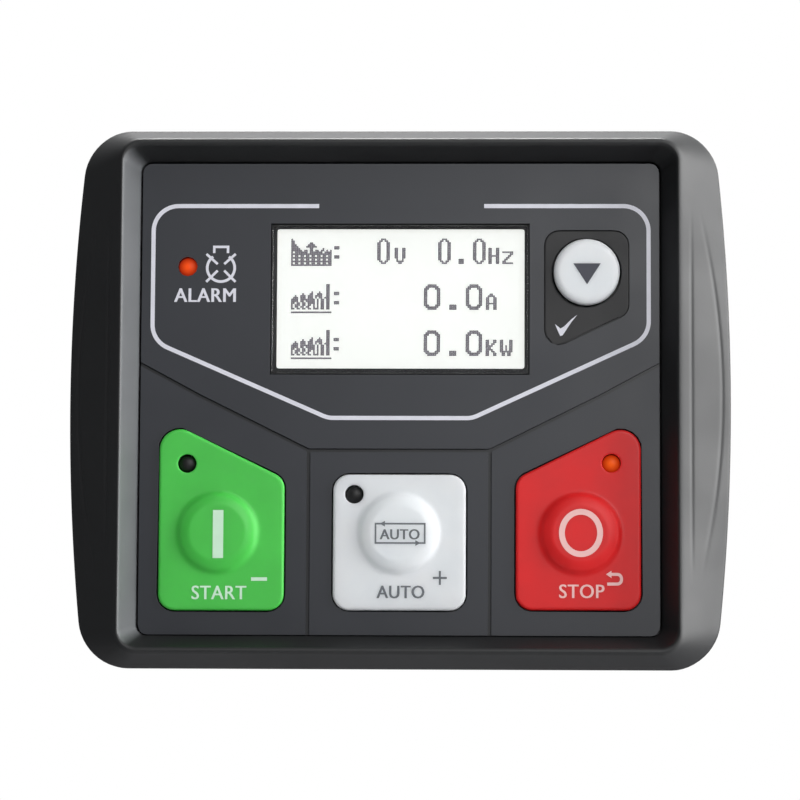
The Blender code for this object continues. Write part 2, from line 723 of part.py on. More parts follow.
def slope_depth(x):
    """The depth of the side slope's surface at the ends of the hollows, where it lies lowest."""
    bow = (HOLLOW_SPAN / 2) ** 2 / (2 * SIDE_BOW_RADIUS)
    outer = (FRONT_HALF[0] - EDGE_ROUNDING - bow, FLANGE_FRONT - EDGE_ROUNDING)
    inner = (CREST_OUTER[0] + CREST_ROUNDING, CREST_FRONT + CREST_ROUNDING)
    share = (outer[0] - x) / (outer[0] - inner[0])
    return outer[1] + share * (inner[1] - outer[1])


def side_hollows():
    """Wedges that leave an even wall under each side slope, with ribs between them."""
    bow = (HOLLOW_SPAN / 2) ** 2 / (2 * SIDE_BOW_RADIUS)
    near = BODY_HALF[0] + HOLLOW_SKIN
    far = FRONT_HALF[0] - bow - GASKET_LIP - HOLLOW_LEDGE
    pitch = (HOLLOW_SPAN + RIB_THICKNESS) / HOLLOW_COUNT
    starts = [-HOLLOW_SPAN / 2 + pitch * i for i in range(HOLLOW_COUNT)]
    boxes = []
    for side in (-1, 1):
        low_x, high_x = sorted((side * near, side * far))
        for start in starts:
            end = start + pitch - RIB_THICKNESS
            boxes.append(((low_x, CREST_FRONT, start), (high_x, FLANGE_BACK, end)))
    mesh = boxes_mesh("side_hollows", boxes)
    for vertex in mesh.vertices:
        if vertex.co.y < FLANGE_FRONT:
            vertex.co.y = slope_depth(abs(vertex.co.x)) + HOLLOW_SLOPE_SKIN
    return helper(mesh)


def front_shell():
    """The moulded front: sloping frame, face recess with its floor, flange and skirt."""
    bow = SIDE_BOW_RADIUS
    groove = inset(FRONT_HALF, GASKET_LIP)
    inner_corner = BODY_CORNER - WALL
    rings = [
        frame_ring(FRONT_HALF, OUTER_CORNER, FLANGE_BACK, bow),
        frame_ring(FRONT_HALF, OUTER_CORNER, FLANGE_FRONT, bow),
        frame_ring(
            inset(FRONT_HALF, EDGE_ROUNDING),
            OUTER_CORNER - EDGE_ROUNDING,
            FLANGE_FRONT - EDGE_ROUNDING,
            bow,
        ),
        frame_ring(
            inset(CREST_OUTER, -CREST_ROUNDING),
            CREST_CORNER + CREST_ROUNDING,
            CREST_FRONT + CREST_ROUNDING,
        ),
        frame_ring(CREST_OUTER, CREST_CORNER, CREST_FRONT),
        frame_ring(CREST_INNER, CREST_CORNER - CREST_WIDTH, CREST_FRONT),
        frame_ring(
            inset(CREST_INNER, CREST_ROUNDING),
            CREST_CORNER - CREST_WIDTH - CREST_ROUNDING,
            CREST_FRONT + CREST_ROUNDING,
        ),
        frame_ring(FACE_HALF, FACE_CORNER, FACE_FRONT + FIT_GAP),
        frame_ring(FACE_HALF, FACE_CORNER, FLOOR_FRONT + FIT_GAP / 2),
        frame_ring(INNER_HALF, inner_corner, FLOOR_FRONT + FIT_GAP),
        frame_ring(INNER_HALF, inner_corner, SKIRT_DEPTH),
        frame_ring(LAP_HALF, inner_corner + LAP_THICKNESS, SKIRT_DEPTH),
        frame_ring(LAP_HALF, inner_corner + LAP_THICKNESS, SKIRT_DEPTH - LAP_DEPTH),
        frame_ring(BODY_HALF, BODY_CORNER, SKIRT_DEPTH - LAP_DEPTH),
        frame_ring(BODY_HALF, BODY_CORNER, GROOVE_FLOOR),
        frame_ring(groove, OUTER_CORNER - GASKET_LIP, GROOVE_FLOOR, bow),
        frame_ring(groove, OUTER_CORNER - GASKET_LIP, FLANGE_BACK, bow),
    ]
    shell = add("front_shell", lofted_mesh("front_shell", rings, closed=True), BLACK_PLASTIC)
    join(shell, floor_helper())
    post_end = MAIN_BOARD_FRONT - FIT_GAP
    post_start = FLOOR_BACK - FLOOR_THICKNESS / 2
    posts = rods_mesh("corner_posts", CORNERS, POST_RADIUS, post_start, post_end)
    boss_end = BOARD_FRONT - FIT_GAP
    bosses = rods_mesh("board_bosses", BOARD_SCREWS, BOARD_BOSS_RADIUS, post_start, boss_end)
    join(shell, helper(posts), helper(bosses))
    post_bore = CASE_SCREW_TIP - FIT_GAP
    boss_bore = BOARD_SCREW_TIP - FIT_GAP
    post_radius = CASE_SCREW_RADIUS + FIT_GAP
    boss_radius = BOARD_SCREW_RADIUS + FIT_GAP
    cut(
        shell,
        cell_pocket_helper(),
        side_hollows(),
        helper(rods_mesh("post_bores", CORNERS, post_radius, post_bore, SKIRT_DEPTH * 2)),
        helper(rods_mesh("boss_bores", BOARD_SCREWS, boss_radius, boss_bore, SKIRT_DEPTH)),
    )


def floor_helper():
    """The floor of the face recess, open behind the view, the keys and the lamps."""
    reach = WALL / 2 - FIT_GAP
    outline = rounded(rectangle(*inset(INNER_HALF, -reach)), BODY_CORNER - WALL + reach)
    openings = [rectangle(VIEW_WIDTH / 2, VIEW_HEIGHT / 2, 0.0, WINDOW_Z)]
    for x, z, radius, _ in KEYS.values():
        openings.append(circle(x, z, stem_radius(radius) + FIT_GAP))
    openings += [lamp_hole(lamp) for lamp in LAMPS]
    return plate_helper("recess_floor", [outline] + openings, FLOOR_FRONT, FLOOR_BACK)


def cell_pocket_helper():
    """The pocket behind the floor that holds the display cell."""
    width, height = CELL_WIDTH + 2 * FIT_GAP, CELL_HEIGHT + 2 * FIT_GAP
    front, back = FLOOR_BACK - CELL_POCKET, FLOOR_BACK + CELL_POCKET
    return helper(boxes_mesh("cell_pocket", [centred_box(0, WINDOW_Z, width, height, front, back)]))


def panel_gasket():
    outer = inset(FRONT_HALF, GASKET_LIP + FIT_GAP)
    outer_corner = OUTER_CORNER - GASKET_LIP - FIT_GAP
    inner = inset(BODY_HALF, -FIT_GAP)
    inner_corner = BODY_CORNER + FIT_GAP
    rings = [
        frame_ring(inner, inner_corner, GASKET_FRONT),
        frame_ring(outer, outer_corner, GASKET_FRONT, SIDE_BOW_RADIUS),
        frame_ring(outer, outer_corner, 0.0, SIDE_BOW_RADIUS),
        frame_ring(inner, inner_corner, 0.0),
    ]
    add("panel_gasket", lofted_mesh("panel_gasket", rings, closed=True), GASKET_RUBBER)


def groove_helpers():
    """Grooves that part the face into the display's field and the three pads' fields."""
    back = FACE_FRONT + GROOVE_DEPTH
    front = FACE_FRONT - GROOVE_DEPTH
    edge, bottom = FACE_HALF[0] + GROOVE_WIDTH, -FACE_HALF[1] - GROOVE_WIDTH
    kink = (GROOVE_KINK_X, GROOVE_KINK_Z)
    side_run = [(GROOVE_X, bottom), (GROOVE_X, GROOVE_Z), kink, (edge, GROOVE_END_Z)]
    middle_run = [(-GROOVE_X, GROOVE_Z), (GROOVE_X, GROOVE_Z)]
    helpers = []
    for name, run in (
        ("right_groove", side_run),
        ("left_groove", [(-x, z) for x, z in side_run]),
        ("middle_groove", middle_run),
    ):
        helpers.append(plate_helper(name, [stroke(run, GROOVE_WIDTH)], front, back))
    return helpers


def face_panel():
    outline = rounded(rectangle(*inset(FACE_HALF, FIT_GAP)), FACE_CORNER - FIT_GAP)
    half_window = (WINDOW_WIDTH / 2 + FIT_GAP, WINDOW_HEIGHT / 2 + FIT_GAP)
    openings = [rectangle(*half_window, 0.0, WINDOW_Z), lamp_hole("alarm")]
    for corners, radius, _, _ in PADS.values():
        openings.append(rounded(grown(corners, FIT_GAP), radius + FIT_GAP))
    face = plate("face_panel", [outline] + openings, FACE_FRONT, FACE_BACK, GREY_FACE)
    cut(face, *groove_helpers())


def pads():
    """The coloured pads round the keys, each with its key's hole and its lamp's."""
    for name, (corners, radius, front, material) in PADS.items():
        x, z, key_radius, _ = KEYS[name]
        outlines = [rounded(corners, radius), circle(x, z, key_radius + FIT_GAP)]
        if name in LAMPS:
            outlines.append(lamp_hole(name))
        pad = plate(f"{name}_pad", outlines, front, FACE_BACK, material)
        soften_front(pad, PAD_ROUNDING)


def keys():
    """The keys, soft domes on a stem with a flange behind the floor, and their carbon pills."""
    disc_back = FLOOR_FRONT - KEY_TRAVEL - FIT_GAP
    for name, (x, z, radius, top_radius) in KEYS.items():
        material = WHITE_SILICONE if name == "page" else PADS[name][3]
        surface = PADS[name][2]
        shoulder = (surface + 3 * KEY_FRONT) / 4
        middle = (radius + top_radius) / 2
        pocket = PILL_RADIUS + FIT_GAP
        profile = [
            (0, KEY_FRONT),
            (top_radius, KEY_FRONT),
            (middle, shoulder),
            (radius, surface),
            (radius, disc_back),
            (stem_radius(radius), disc_back),
            (stem_radius(radius), KEY_FLANGE_FRONT),
            (flange_radius(radius), KEY_FLANGE_FRONT),
            (flange_radius(radius), KEY_FLANGE_BACK),
            (BOSS_RADIUS, KEY_FLANGE_BACK),
            (BOSS_RADIUS, KEY_BACK),
            (pocket, KEY_BACK),
            (pocket, KEY_BACK - PILL_POCKET),
            (0, KEY_BACK - PILL_POCKET),
        ]
        upright = [(across, -y) for across, y in profile]
        mesh = turned_mesh(f"{name}_button", upright, ROUND_STEPS)
        add(f"{name}_button", mesh, material, (x, 0, z), FACING_FRONT)
        pill = rods_mesh(f"{name}_pill", [(0, 0)], PILL_RADIUS, PILL_FRONT, PILL_BACK)
        add(f"{name}_pill", pill, CARBON, (x, 0, z))


def lamp_mesh(name, front):
    """A round lamp with a domed end, a flange and two legs, pointing to local +Z."""
    base = LAMP_BACK - LAMP_FLANGE_THICKNESS
    dome = [(math.sin(t) * LAMP_RADIUS, front + (1 - math.cos(t)) * LAMP_DOME) for t in DOME_TURNS]
    profile = dome + [
        (LAMP_RADIUS, base),
        (LAMP_FLANGE_RADIUS, base),
        (LAMP_FLANGE_RADIUS, LAMP_BACK),
        (0, LAMP_BACK),
    ]
    body = turned_mesh(name, [(across, -y) for across, y in profile], SMALL_STEPS)
    half = LAMP_LEG / 2
    overlap = LAMP_FLANGE_THICKNESS / 2
    legs = [
        (
            (side * LAMP_LEG_PITCH - half, -half, -BOARD_FRONT + FIT_GAP),
            (side * LAMP_LEG_PITCH + half, half, -LAMP_BACK + overlap),
        )
        for side in (-1, 1)
    ]
    lamp = add(name, body, LAMP_DARK)
    join(lamp, helper(boxes_mesh(f"{name}_legs", legs)))
    return evaluated_mesh(lamp)


def lamps():
    for name, (x, z) in LAMPS.items():
        surface = PAD_FRONT if name in PADS else FACE_FRONT
        material = LAMP_LIT if name in ("alarm", "stop") else LAMP_DARK
        mesh = lamp_mesh(f"{name}_led", surface + LAMP_SETBACK)
        add(f"{name}_led", mesh, material, (x, 0, z), FACING_FRONT)


def display():
    window = [rounded(rectangle(WINDOW_WIDTH / 2, WINDOW_HEIGHT / 2, 0, WINDOW_Z), FACE_CORNER / 4)]
    front = FACE_FRONT + WINDOW_SETBACK
    plate("display_window", window, front, FACE_BACK, CLEAR_PLASTIC)
    cell = [centred_box(0, WINDOW_Z, CELL_WIDTH, CELL_HEIGHT, CELL_FRONT, CELL_BACK)]
    add("lcd_cell", boxes_mesh("lcd_cell", cell), DISPLAY_GLASS)
    front, back = CELL_BACK + FIT_GAP, BOARD_FRONT - FIT_GAP
    light = [centred_box(0, WINDOW_Z, CELL_WIDTH, CELL_HEIGHT, front, back)]
    bevelled(add("lcd_backlight", boxes_mesh("lcd_backlight", light), WHITE_PLASTIC), FIT_GAP)


def notched(half):
    """A rectangle with its corners cut back clear of the corner posts."""
    x = POST_AT[0] - POST_RADIUS - FIT_GAP
    z = POST_AT[1] - POST_RADIUS - FIT_GAP
    w, h = half
    upper = [(w, z), (x, z), (x, h), (-x, h), (-x, z), (-w, z)]
    return [(-w, -z), (-x, -z), (-x, -h), (x, -h), (x, -z), (w, -z)] + upper


def keypad_sheet():
    """The silicone sheet that seals round the keys, cut away at the top round the display."""
    half_width = INNER_HALF[0] - BOARD_EDGE_GAP
    notch_x = POST_AT[0] - POST_RADIUS - FIT_GAP
    notch_z = POST_AT[1] - POST_RADIUS - FIT_GAP
    bottom = KEY_Z - flange_radius(KEY_RADIUS) - FIT_GAP - SHEET_MARGIN
    top = PAGE_KEY_Z + flange_radius(PAGE_KEY_RADIUS) + FIT_GAP + SHEET_TOP_MARGIN
    cell_x = CELL_WIDTH / 2 + 2 * FIT_GAP
    cell_z = WINDOW_Z - CELL_HEIGHT / 2 - 2 * FIT_GAP
    outline = [
        (-notch_x, bottom),
        (notch_x, bottom),
        (notch_x, -notch_z),
        (half_width, -notch_z),
        (half_width, top),
        (cell_x, top),
        (cell_x, cell_z),
        (-cell_x, cell_z),
        (-cell_x, top),
        (-half_width, top),
        (-half_width, -notch_z),
        (-notch_x, -notch_z),
    ]
    openings = [lamp_hole(lamp) for lamp in LAMPS]
    for x, z, radius, _ in KEYS.values():
        openings.append(circle(x, z, flange_radius(radius) + FIT_GAP))
    for x, z in BOARD_SCREWS:
        if z < cell_z:
            openings.append(circle(x, z, BOARD_BOSS_RADIUS + FIT_GAP, SMALL_STEPS))
    plate("keypad_sheet", [outline] + openings, KEY_FLANGE_FRONT, SHEET_BACK, DARK_SILICONE)


def boards():
    half = inset(INNER_HALF, BOARD_EDGE_GAP)
    screw_holes = [
        circle(x, z, BOARD_SCREW_RADIUS + SLEEVE_GAP, SMALL_STEPS) for x, z in BOARD_SCREWS
    ]
    outlines = [notched(half)] + screw_holes
    plate("key_board", outlines, BOARD_FRONT, BOARD_BACK, BOARD_LAMINATE)
    corner_holes = [circle(x, z, CASE_SCREW_RADIUS + SLEEVE_GAP, SMALL_STEPS) for x, z in CORNERS]
    outlines = [rectangle(*inset(INNER_HALF, POST_WALL_GAP))] + corner_holes
    plate("main_board", outlines, MAIN_BOARD_FRONT, MAIN_BOARD_BACK, BOARD_LAMINATE)


def screw_mesh(name, shank, length, head, head_height, point=0.0):
    """A screw whose head's underside is at local Z = 0 and whose shank runs down, with a cross recess."""
    edge = head_height / 3
    tip = max(shank - point, shank / 2)
    profile = [
        (0, head_height),
        (head - edge, head_height),
        (head, head_height - edge),
        (head, 0),
        (shank, 0),
        (shank, -length + shank / 2),
        (tip, -length),
        (0, -length),
    ]
    screw = add(name, turned_mesh(name, profile, SMALL_STEPS), PLATED_STEEL)
    arm, half, floor = head * 0.55, head * 0.11, head_height * 0.45
    top = head_height * 2
    across = boxes_mesh(f"{name}_slot", [((-arm, -half, floor), (arm, half, top))])
    along = boxes_mesh(f"{name}_cross", [((-half, -arm, floor), (half, arm, top))])
    cut(screw, helper(across), helper(along))
    return evaluated_mesh(screw)


def screws():
    """The key board's four screws and the four long ones that hold the case to the front."""
    mesh = screw_mesh(
        "key_board_screw",
        BOARD_SCREW_RADIUS,
        BOARD_SCREW_LENGTH,
        BOARD_SCREW_HEAD,
        BOARD_SCREW_HEAD_HEIGHT,
        BOARD_SCREW_RADIUS / 2,
    )
    for i, (x, z) in enumerate(BOARD_SCREWS, 1):
        place = (x, BOARD_SCREW_SEAT, z)
        add(f"key_board_screw_{i}", mesh, PLATED_STEEL, place, FACING_BACK)
    mesh = screw_mesh(
        "case_screw",
        CASE_SCREW_RADIUS,
        CASE_SCREW_LENGTH,
        CASE_SCREW_HEAD,
        CASE_SCREW_HEAD_HEIGHT,
        CASE_SCREW_RADIUS / 2,
    )
    for i, (x, z) in enumerate(CORNERS, 1):
        place = (x, CASE_SCREW_SEAT, z)
        add(f"case_screw_{i}", mesh, PLATED_STEEL, place, FACING_BACK)


def board_link():
    """The row of pins on the key board and the socket for them on the main board."""
    length = LINK_PINS * LINK_PITCH
    pin_x = [(i - (LINK_PINS - 1) / 2) * LINK_PITCH for i in range(LINK_PINS)]
    base_front = BOARD_BACK + FIT_GAP
    base_back = base_front + LINK_BASE
    socket_back = MAIN_BOARD_FRONT - FIT_GAP
    socket_front = base_back + FIT_GAP
    hole_end = socket_back - LINK_BASE / 4
    pin_end = hole_end - FIT_GAP
    base = [centred_box(0, LINK_Z, length, LINK_DEPTH, base_front, base_back)]
    header = add("link_header", boxes_mesh("link_header", base), CHIP_BLACK)
    pins = [centred_box(x, LINK_Z, LINK_PIN, LINK_PIN, base_front + FIT_GAP, pin_end) for x in pin_x]
    join(header, helper(boxes_mesh("link_pins", pins)))
    body = [centred_box(0, LINK_Z, length, LINK_DEPTH, socket_front, socket_back)]
    socket = add("link_socket", boxes_mesh("link_socket", body), CHIP_BLACK)
    hole = LINK_PIN + 2 * FIT_GAP
    holes = [centred_box(x, LINK_Z, hole, hole, base_front, hole_end) for x in pin_x]
    cut(socket, helper(boxes_mesh("link_holes", holes)))


def board_parts():
    """The processor on the key board, and the relays and capacitors on the main board."""
    front = BOARD_BACK + FIT_GAP
    chip = [centred_box(CHIP_X, CHIP_Z, CHIP_SIDE, CHIP_SIDE, front, front + CHIP_THICKNESS)]
    bevelled(add("microcontroller", boxes_mesh("microcontroller", chip), CHIP_BLACK), FIT_GAP)
    seat = MAIN_BOARD_BACK + FIT_GAP
    width = RELAY_PITCH - RELAY_SPACING
    for i in range(RELAY_COUNT):
        name = f"relay_{i + 1}"
        x = RELAYS_START + i * RELAY_PITCH + width / 2
        relay = centred_box(x, 0, width, RELAY_HEIGHT, seat, seat + RELAY_DEPTH)
        body = boxes_mesh(name, [relay])
        bevelled(add(name, body, RELAY_BLUE), FIT_GAP)
    groove = CAPACITOR_RADIUS / 6
    profile = [
        (0, CAPACITOR_LENGTH),
        (CAPACITOR_RADIUS - groove, CAPACITOR_LENGTH),
        (CAPACITOR_RADIUS, CAPACITOR_LENGTH - groove),
        (CAPACITOR_RADIUS, 3 * groove),
        (CAPACITOR_RADIUS - groove, 2.5 * groove),
        (CAPACITOR_RADIUS, 2 * groove),
        (CAPACITOR_RADIUS, 0),
        (0, 0),
    ]
    can = turned_mesh("capacitor", profile, ROUND_STEPS)
    for i, side in enumerate((1, -1), 1):
        place = (CAPACITOR_X, seat, side * CAPACITOR_Z)
        add(f"capacitor_{i}", can, CAN_ALUMINIUM, place, FACING_BACK)


def usb_socket():
    """The set-up socket, whose mouth is flush with the terminals' ends."""
    front, back = MAIN_BOARD_BACK + FIT_GAP, SOCKET_END
    mouth = back - USB_CAVITY
    z = TERMINAL_ROW_Z
    shell = [centred_box(USB_X, z, USB_WIDTH, USB_HEIGHT, front, back)]
    socket = add("usb_socket", boxes_mesh("usb_socket", shell), PLATED_STEEL)
    width, height = USB_WIDTH - 2 * USB_WALL, USB_HEIGHT - 2 * USB_WALL
    cavity = [centred_box(USB_X, z, width, height, mouth, back + USB_WALL)]
    cut(socket, helper(boxes_mesh("usb_cavity", cavity)))
    tongue = [centred_box(USB_X, z, width * 0.7, USB_TONGUE, mouth - USB_WALL, back - USB_WALL)]
    join(socket, helper(boxes_mesh("usb_tongue", tongue)))


def way_places(ways):
    """How far each terminal lies from the row's middle."""
    return [(i - (ways - 1) / 2) * TERMINAL_PITCH for i in range(ways)]


def terminal_socket(name, x, z, ways):
    """A row of pins in an open housing soldered to the main board."""
    front, floor = MAIN_BOARD_BACK + FIT_GAP, SOCKET_END - SOCKET_CAVITY
    inner_width = ways * TERMINAL_PITCH
    inner_height = SOCKET_HEIGHT - 2 * SOCKET_WALL
    outer = centred_box(x, z, inner_width + 2 * SOCKET_WALL, SOCKET_HEIGHT, front, SOCKET_END)
    socket = add(name, boxes_mesh(name, [outer]), TERMINAL_GREEN)
    cavity = centred_box(x, z, inner_width, inner_height, floor, SOCKET_END + SOCKET_WALL)
    cut(socket, helper(boxes_mesh(f"{name}_cavity", [cavity])))
    end = floor + TERMINAL_PIN_LENGTH
    pins = [
        centred_box(x + way, z, TERMINAL_PIN, TERMINAL_PIN, floor - SOCKET_WALL, end)
        for way in way_places(ways)
    ]
    join(socket, helper(boxes_mesh(f"{name}_pins", pins)))


def terminal_plug(name, x, z, ways):
    """A plug that pulls off the socket backwards. Its wires enter from behind, and the clamping
    screws are reached from its outer side."""
    place = (x, PLUG_FRONT, z)
    outward = math.copysign(1, z)
    width = ways * TERMINAL_PITCH
    nose_start = SOCKET_END - SOCKET_CAVITY + FIT_GAP - PLUG_FRONT
    nose_height = SOCKET_HEIGHT - 2 * SOCKET_WALL - 2 * FIT_GAP
    overlap = PLUG_LENGTH / 10
    body = [centred_box(0, 0, width + 2 * PLUG_END, PLUG_HEIGHT, 0, PLUG_LENGTH)]
    plug = add(name, boxes_mesh(name, body), TERMINAL_GREEN, place)
    nose = [centred_box(0, 0, width - 2 * FIT_GAP, nose_height, nose_start, overlap)]
    join(plug, helper(boxes_mesh(f"{name}_nose", nose), place))
    hole = TERMINAL_PIN + 2 * FIT_GAP
    hole_end = nose_start + TERMINAL_PIN_LENGTH + FIT_GAP
    pin_holes, entries = [], []
    entry_start = PLUG_LENGTH - WIRE_ENTRY_DEPTH
    entry_z = -outward * WIRE_ENTRY_OFFSET
    for way in way_places(ways):
        pin_holes.append(centred_box(way, 0, hole, hole, nose_start - FIT_GAP, hole_end))
        entries.append(
            centred_box(
                way,
                entry_z,
                WIRE_ENTRY_WIDTH,
                WIRE_ENTRY_HEIGHT,
                entry_start,
                PLUG_LENGTH + FIT_GAP,
            )
        )
    clamp_holes = rods_mesh(
        f"{name}_clamp_holes",
        [(way, -outward * entry_start) for way in way_places(ways)],
        CLAMP_HOLE_RADIUS,
        -CLAMP_HOLE_DEPTH,
        CLAMP_HOLE_DEPTH,
        10,
    )
    outer_face = (x, PLUG_FRONT, z + outward * PLUG_HEIGHT / 2)
    cut(
        plug,
        helper(boxes_mesh(f"{name}_pin_holes", pin_holes), place),
        helper(boxes_mesh(f"{name}_wire_entries", entries), place),
        helper(clamp_holes, outer_face, (outward * math.pi / 2, 0, 0)),
    )


def terminals():
    for row, (x, z, ways) in ROWS.items():
        terminal_socket(f"{row}_terminal_socket", x, z, ways)
        terminal_plug(f"{row}_terminal_plug", x, z, ways)


def rear_case():
    """The case behind the panel. Its rim laps over the end of the front shell's skirt."""
    inner_corner = BODY_CORNER - WALL
    rim_half = inset(LAP_HALF, -FIT_GAP)
    rim_corner = inner_corner + LAP_THICKNESS + FIT_GAP
    lap_floor = SKIRT_DEPTH + FIT_GAP
    rim_end = SKIRT_DEPTH - LAP_DEPTH + FIT_GAP
    edge_half = inset(BODY_HALF, CASE_EDGE)
    rings = [
        frame_ring(INNER_HALF, inner_corner, CASE_INNER_BACK),
        frame_ring(INNER_HALF, inner_corner, lap_floor),
        frame_ring(rim_half, rim_corner, lap_floor),
        frame_ring(rim_half, rim_corner, rim_end),
        frame_ring(BODY_HALF, BODY_CORNER, rim_end),
        frame_ring(BODY_HALF, BODY_CORNER, CASE_DEPTH - CASE_EDGE),
        frame_ring(edge_half, BODY_CORNER - CASE_EDGE, CASE_DEPTH),
    ]
    case = add("rear_case", lofted_mesh("rear_case", rings, closed=False), BLACK_PLASTIC)
    start = MAIN_BOARD_BACK + FIT_GAP
    end = CASE_DEPTH - WALL / 2
    join(case, helper(rods_mesh("pillars", CORNERS, PILLAR_RADIUS, start, end, 16)))
    bore = CASE_SCREW_RADIUS + SLEEVE_GAP
    counterbore = CASE_SCREW_HEAD + FIT_GAP
    past = CASE_DEPTH + WALL
    floor = CASE_DEPTH - COUNTERBORE_DEPTH
    cut(
        case,
        helper(rods_mesh("pillar_bores", CORNERS, bore, start - WALL, past)),
        helper(rods_mesh("counterbores", CORNERS, counterbore, floor, past)),
        helper(boxes_mesh("case_windows", case_windows())),
        helper(boxes_mesh("case_vents", case_vents())),
        helper(boxes_mesh("hook_slots", hook_slots())),
    )


def case_windows():
    """Openings in the back for the two rows of terminals and the set-up socket."""
    front, back = CASE_INNER_BACK - WALL, CASE_DEPTH + WALL
    around = 2 * FIT_GAP
    boxes = []
    for x, z, ways in ROWS.values():
        width = ways * TERMINAL_PITCH + 2 * SOCKET_WALL + around
        boxes.append(centred_box(x, z, width, SOCKET_HEIGHT + around, front, back))
    usb = (USB_WIDTH + around, USB_HEIGHT + around)
    boxes.append(centred_box(USB_X, TERMINAL_ROW_Z, *usb, front, back))
    return boxes


def case_vents():
    """Slots through the top and bottom walls."""
    boxes = []
    for i in range(VENT_COUNT):
        x = (i - (VENT_COUNT - 1) / 2) * VENT_PITCH
        for side in (-1, 1):
            z = side * (BODY_HALF[1] + INNER_HALF[1]) / 2
            boxes.append(centred_box(x, z, VENT_WIDTH, 2 * WALL, VENT_START, VENT_END))
    return boxes


def hook_slots():
    """Slots in the two side walls for the clips' hooks, long enough to let their tips through."""
    boxes = []
    for side in (-1, 1):
        x = side * (BODY_HALF[0] + INNER_HALF[0]) / 2
        for start in HOOK_STARTS:
            end = start + HOOK_THICKNESS + FIT_GAP
            front = start - HOOK_TIP - FIT_GAP / 2
            height = 2 * (HOOK_HALF_HEIGHT + FIT_GAP)
            boxes.append(centred_box(x, 0, 2 * WALL, height, front, end))
    return boxes


def fixing_clips():
    """A nylon clip hooked into each side of the case, with the jack screw that clamps the panel."""
    screw = screw_mesh("jack_screw", JACK_RADIUS, JACK_LENGTH, JACK_HEAD_RADIUS, JACK_HEAD_HEIGHT)
    near = BODY_HALF[0] + FIT_GAP
    outer = near + CLIP_THICKNESS
    jack_x = outer + JACK_X_FROM_CLIP
    inner_face = INNER_HALF[0] - FIT_GAP
    hook_depth = inner_face - HOOK_THICKNESS
    lug_start = CLIP_END - LUG_LENGTH
    for name, side in (("left", -1), ("right", 1)):
        clip_name = f"{name}_fixing_clip"
        spine = mirrored_box(side, near, outer, CLIP_HALF_HEIGHT, CLIP_START, CLIP_END)
        clip = add(clip_name, boxes_mesh(clip_name, [spine]), CLIP_NYLON)
        overlap = CLIP_THICKNESS / 2
        lug_reach = outer + LUG_REACH
        lug = mirrored_box(side, near + overlap, lug_reach, LUG_HALF_HEIGHT, lug_start, CLIP_END)
        shanks, tips = [], []
        for start in HOOK_STARTS:
            end = start + HOOK_THICKNESS
            shanks.append(
                mirrored_box(side, hook_depth, near + overlap, HOOK_HALF_HEIGHT, start, end)
            )
            tips.append(
                mirrored_box(
                    side,
                    hook_depth,
                    inner_face,
                    HOOK_HALF_HEIGHT,
                    start + HOOK_THICKNESS / 2,
                    end + HOOK_TIP,
                )
            )
        join(
            clip,
            helper(boxes_mesh(f"{name}_lug", [lug])),
            helper(boxes_mesh(f"{name}_hook_shanks", shanks)),
            helper(boxes_mesh(f"{name}_hook_tips", tips)),
        )
        places = [(side * jack_x, 0)]
        hole = JACK_RADIUS + FIT_GAP
        bore = rods_mesh(f"{name}_jack_bore", places, hole, lug_start - FIT_GAP, CLIP_END + FIT_GAP)
        cut(clip, helper(bore))
        place = (side * jack_x, PANEL_THICKNESS + JACK_LENGTH, 0)
        add(f"{name}_jack_screw", screw, PLATED_STEEL, place, FACING_BACK)


def mirrored_box(side, near, far, half_height, front, back):
    """A box on the left or right side, from its distances to the middle plane."""
    low, high = sorted((side * near, side * far))
    return (low, front, -half_height), (high, back, half_height)


def build():
    front_shell()
    panel_gasket()
    face_panel()
    pads()
    keys()
    lamps()
    display()
    keypad_sheet()
    boards()
    screws()
    board_link()
    board_parts()
    usb_socket()
    terminals()
    rear_case()
    fixing_clips()


build()
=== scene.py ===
"""The looks of a genset controller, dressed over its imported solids.

Metres, +Z up, the front faces -Y and the panel's surface is the plane Y = 0. Lengths below are
written in millimetres times MM, and places on the front are (x, z).
"""

import math

import bmesh
import bpy
from mathutils import Matrix, Vector


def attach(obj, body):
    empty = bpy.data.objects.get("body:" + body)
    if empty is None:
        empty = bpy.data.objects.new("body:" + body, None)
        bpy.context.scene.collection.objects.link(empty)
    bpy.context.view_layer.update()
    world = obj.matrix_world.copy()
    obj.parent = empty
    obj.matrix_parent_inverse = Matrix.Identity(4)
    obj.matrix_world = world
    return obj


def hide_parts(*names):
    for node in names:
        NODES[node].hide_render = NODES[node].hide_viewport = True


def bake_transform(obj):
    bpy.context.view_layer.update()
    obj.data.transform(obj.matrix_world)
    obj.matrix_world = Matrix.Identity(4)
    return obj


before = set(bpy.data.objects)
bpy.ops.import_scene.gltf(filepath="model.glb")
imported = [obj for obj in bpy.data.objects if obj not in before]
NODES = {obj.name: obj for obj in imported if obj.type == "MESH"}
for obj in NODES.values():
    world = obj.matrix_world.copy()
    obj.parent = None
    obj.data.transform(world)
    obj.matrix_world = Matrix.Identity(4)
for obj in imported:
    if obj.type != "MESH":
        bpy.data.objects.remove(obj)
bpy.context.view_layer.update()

MM = 0.001
ROOT = "controller"


def in_mm(*points):
    """Points given in mm, in metres."""
    return [(a * MM, b * MM) for a, b in points]



# Planes along Y
CREST = -10.5 * MM
FACE = -5.5 * MM
FACE_BACK = -3.9 * MM
PAD = -6.0 * MM
KEY = -7.1 * MM
FLOOR_FRONT, FLOOR_BACK = -3.6 * MM, -1.6 * MM
CELL = -2.5 * MM
INK = 0.02 * MM  # how proud a print stands of what carries it
HAIR = 0.002 * MM  # between layers of ink that cross, so that none lie in one plane
MERGE = 0.000002  # vertices closer than this are one

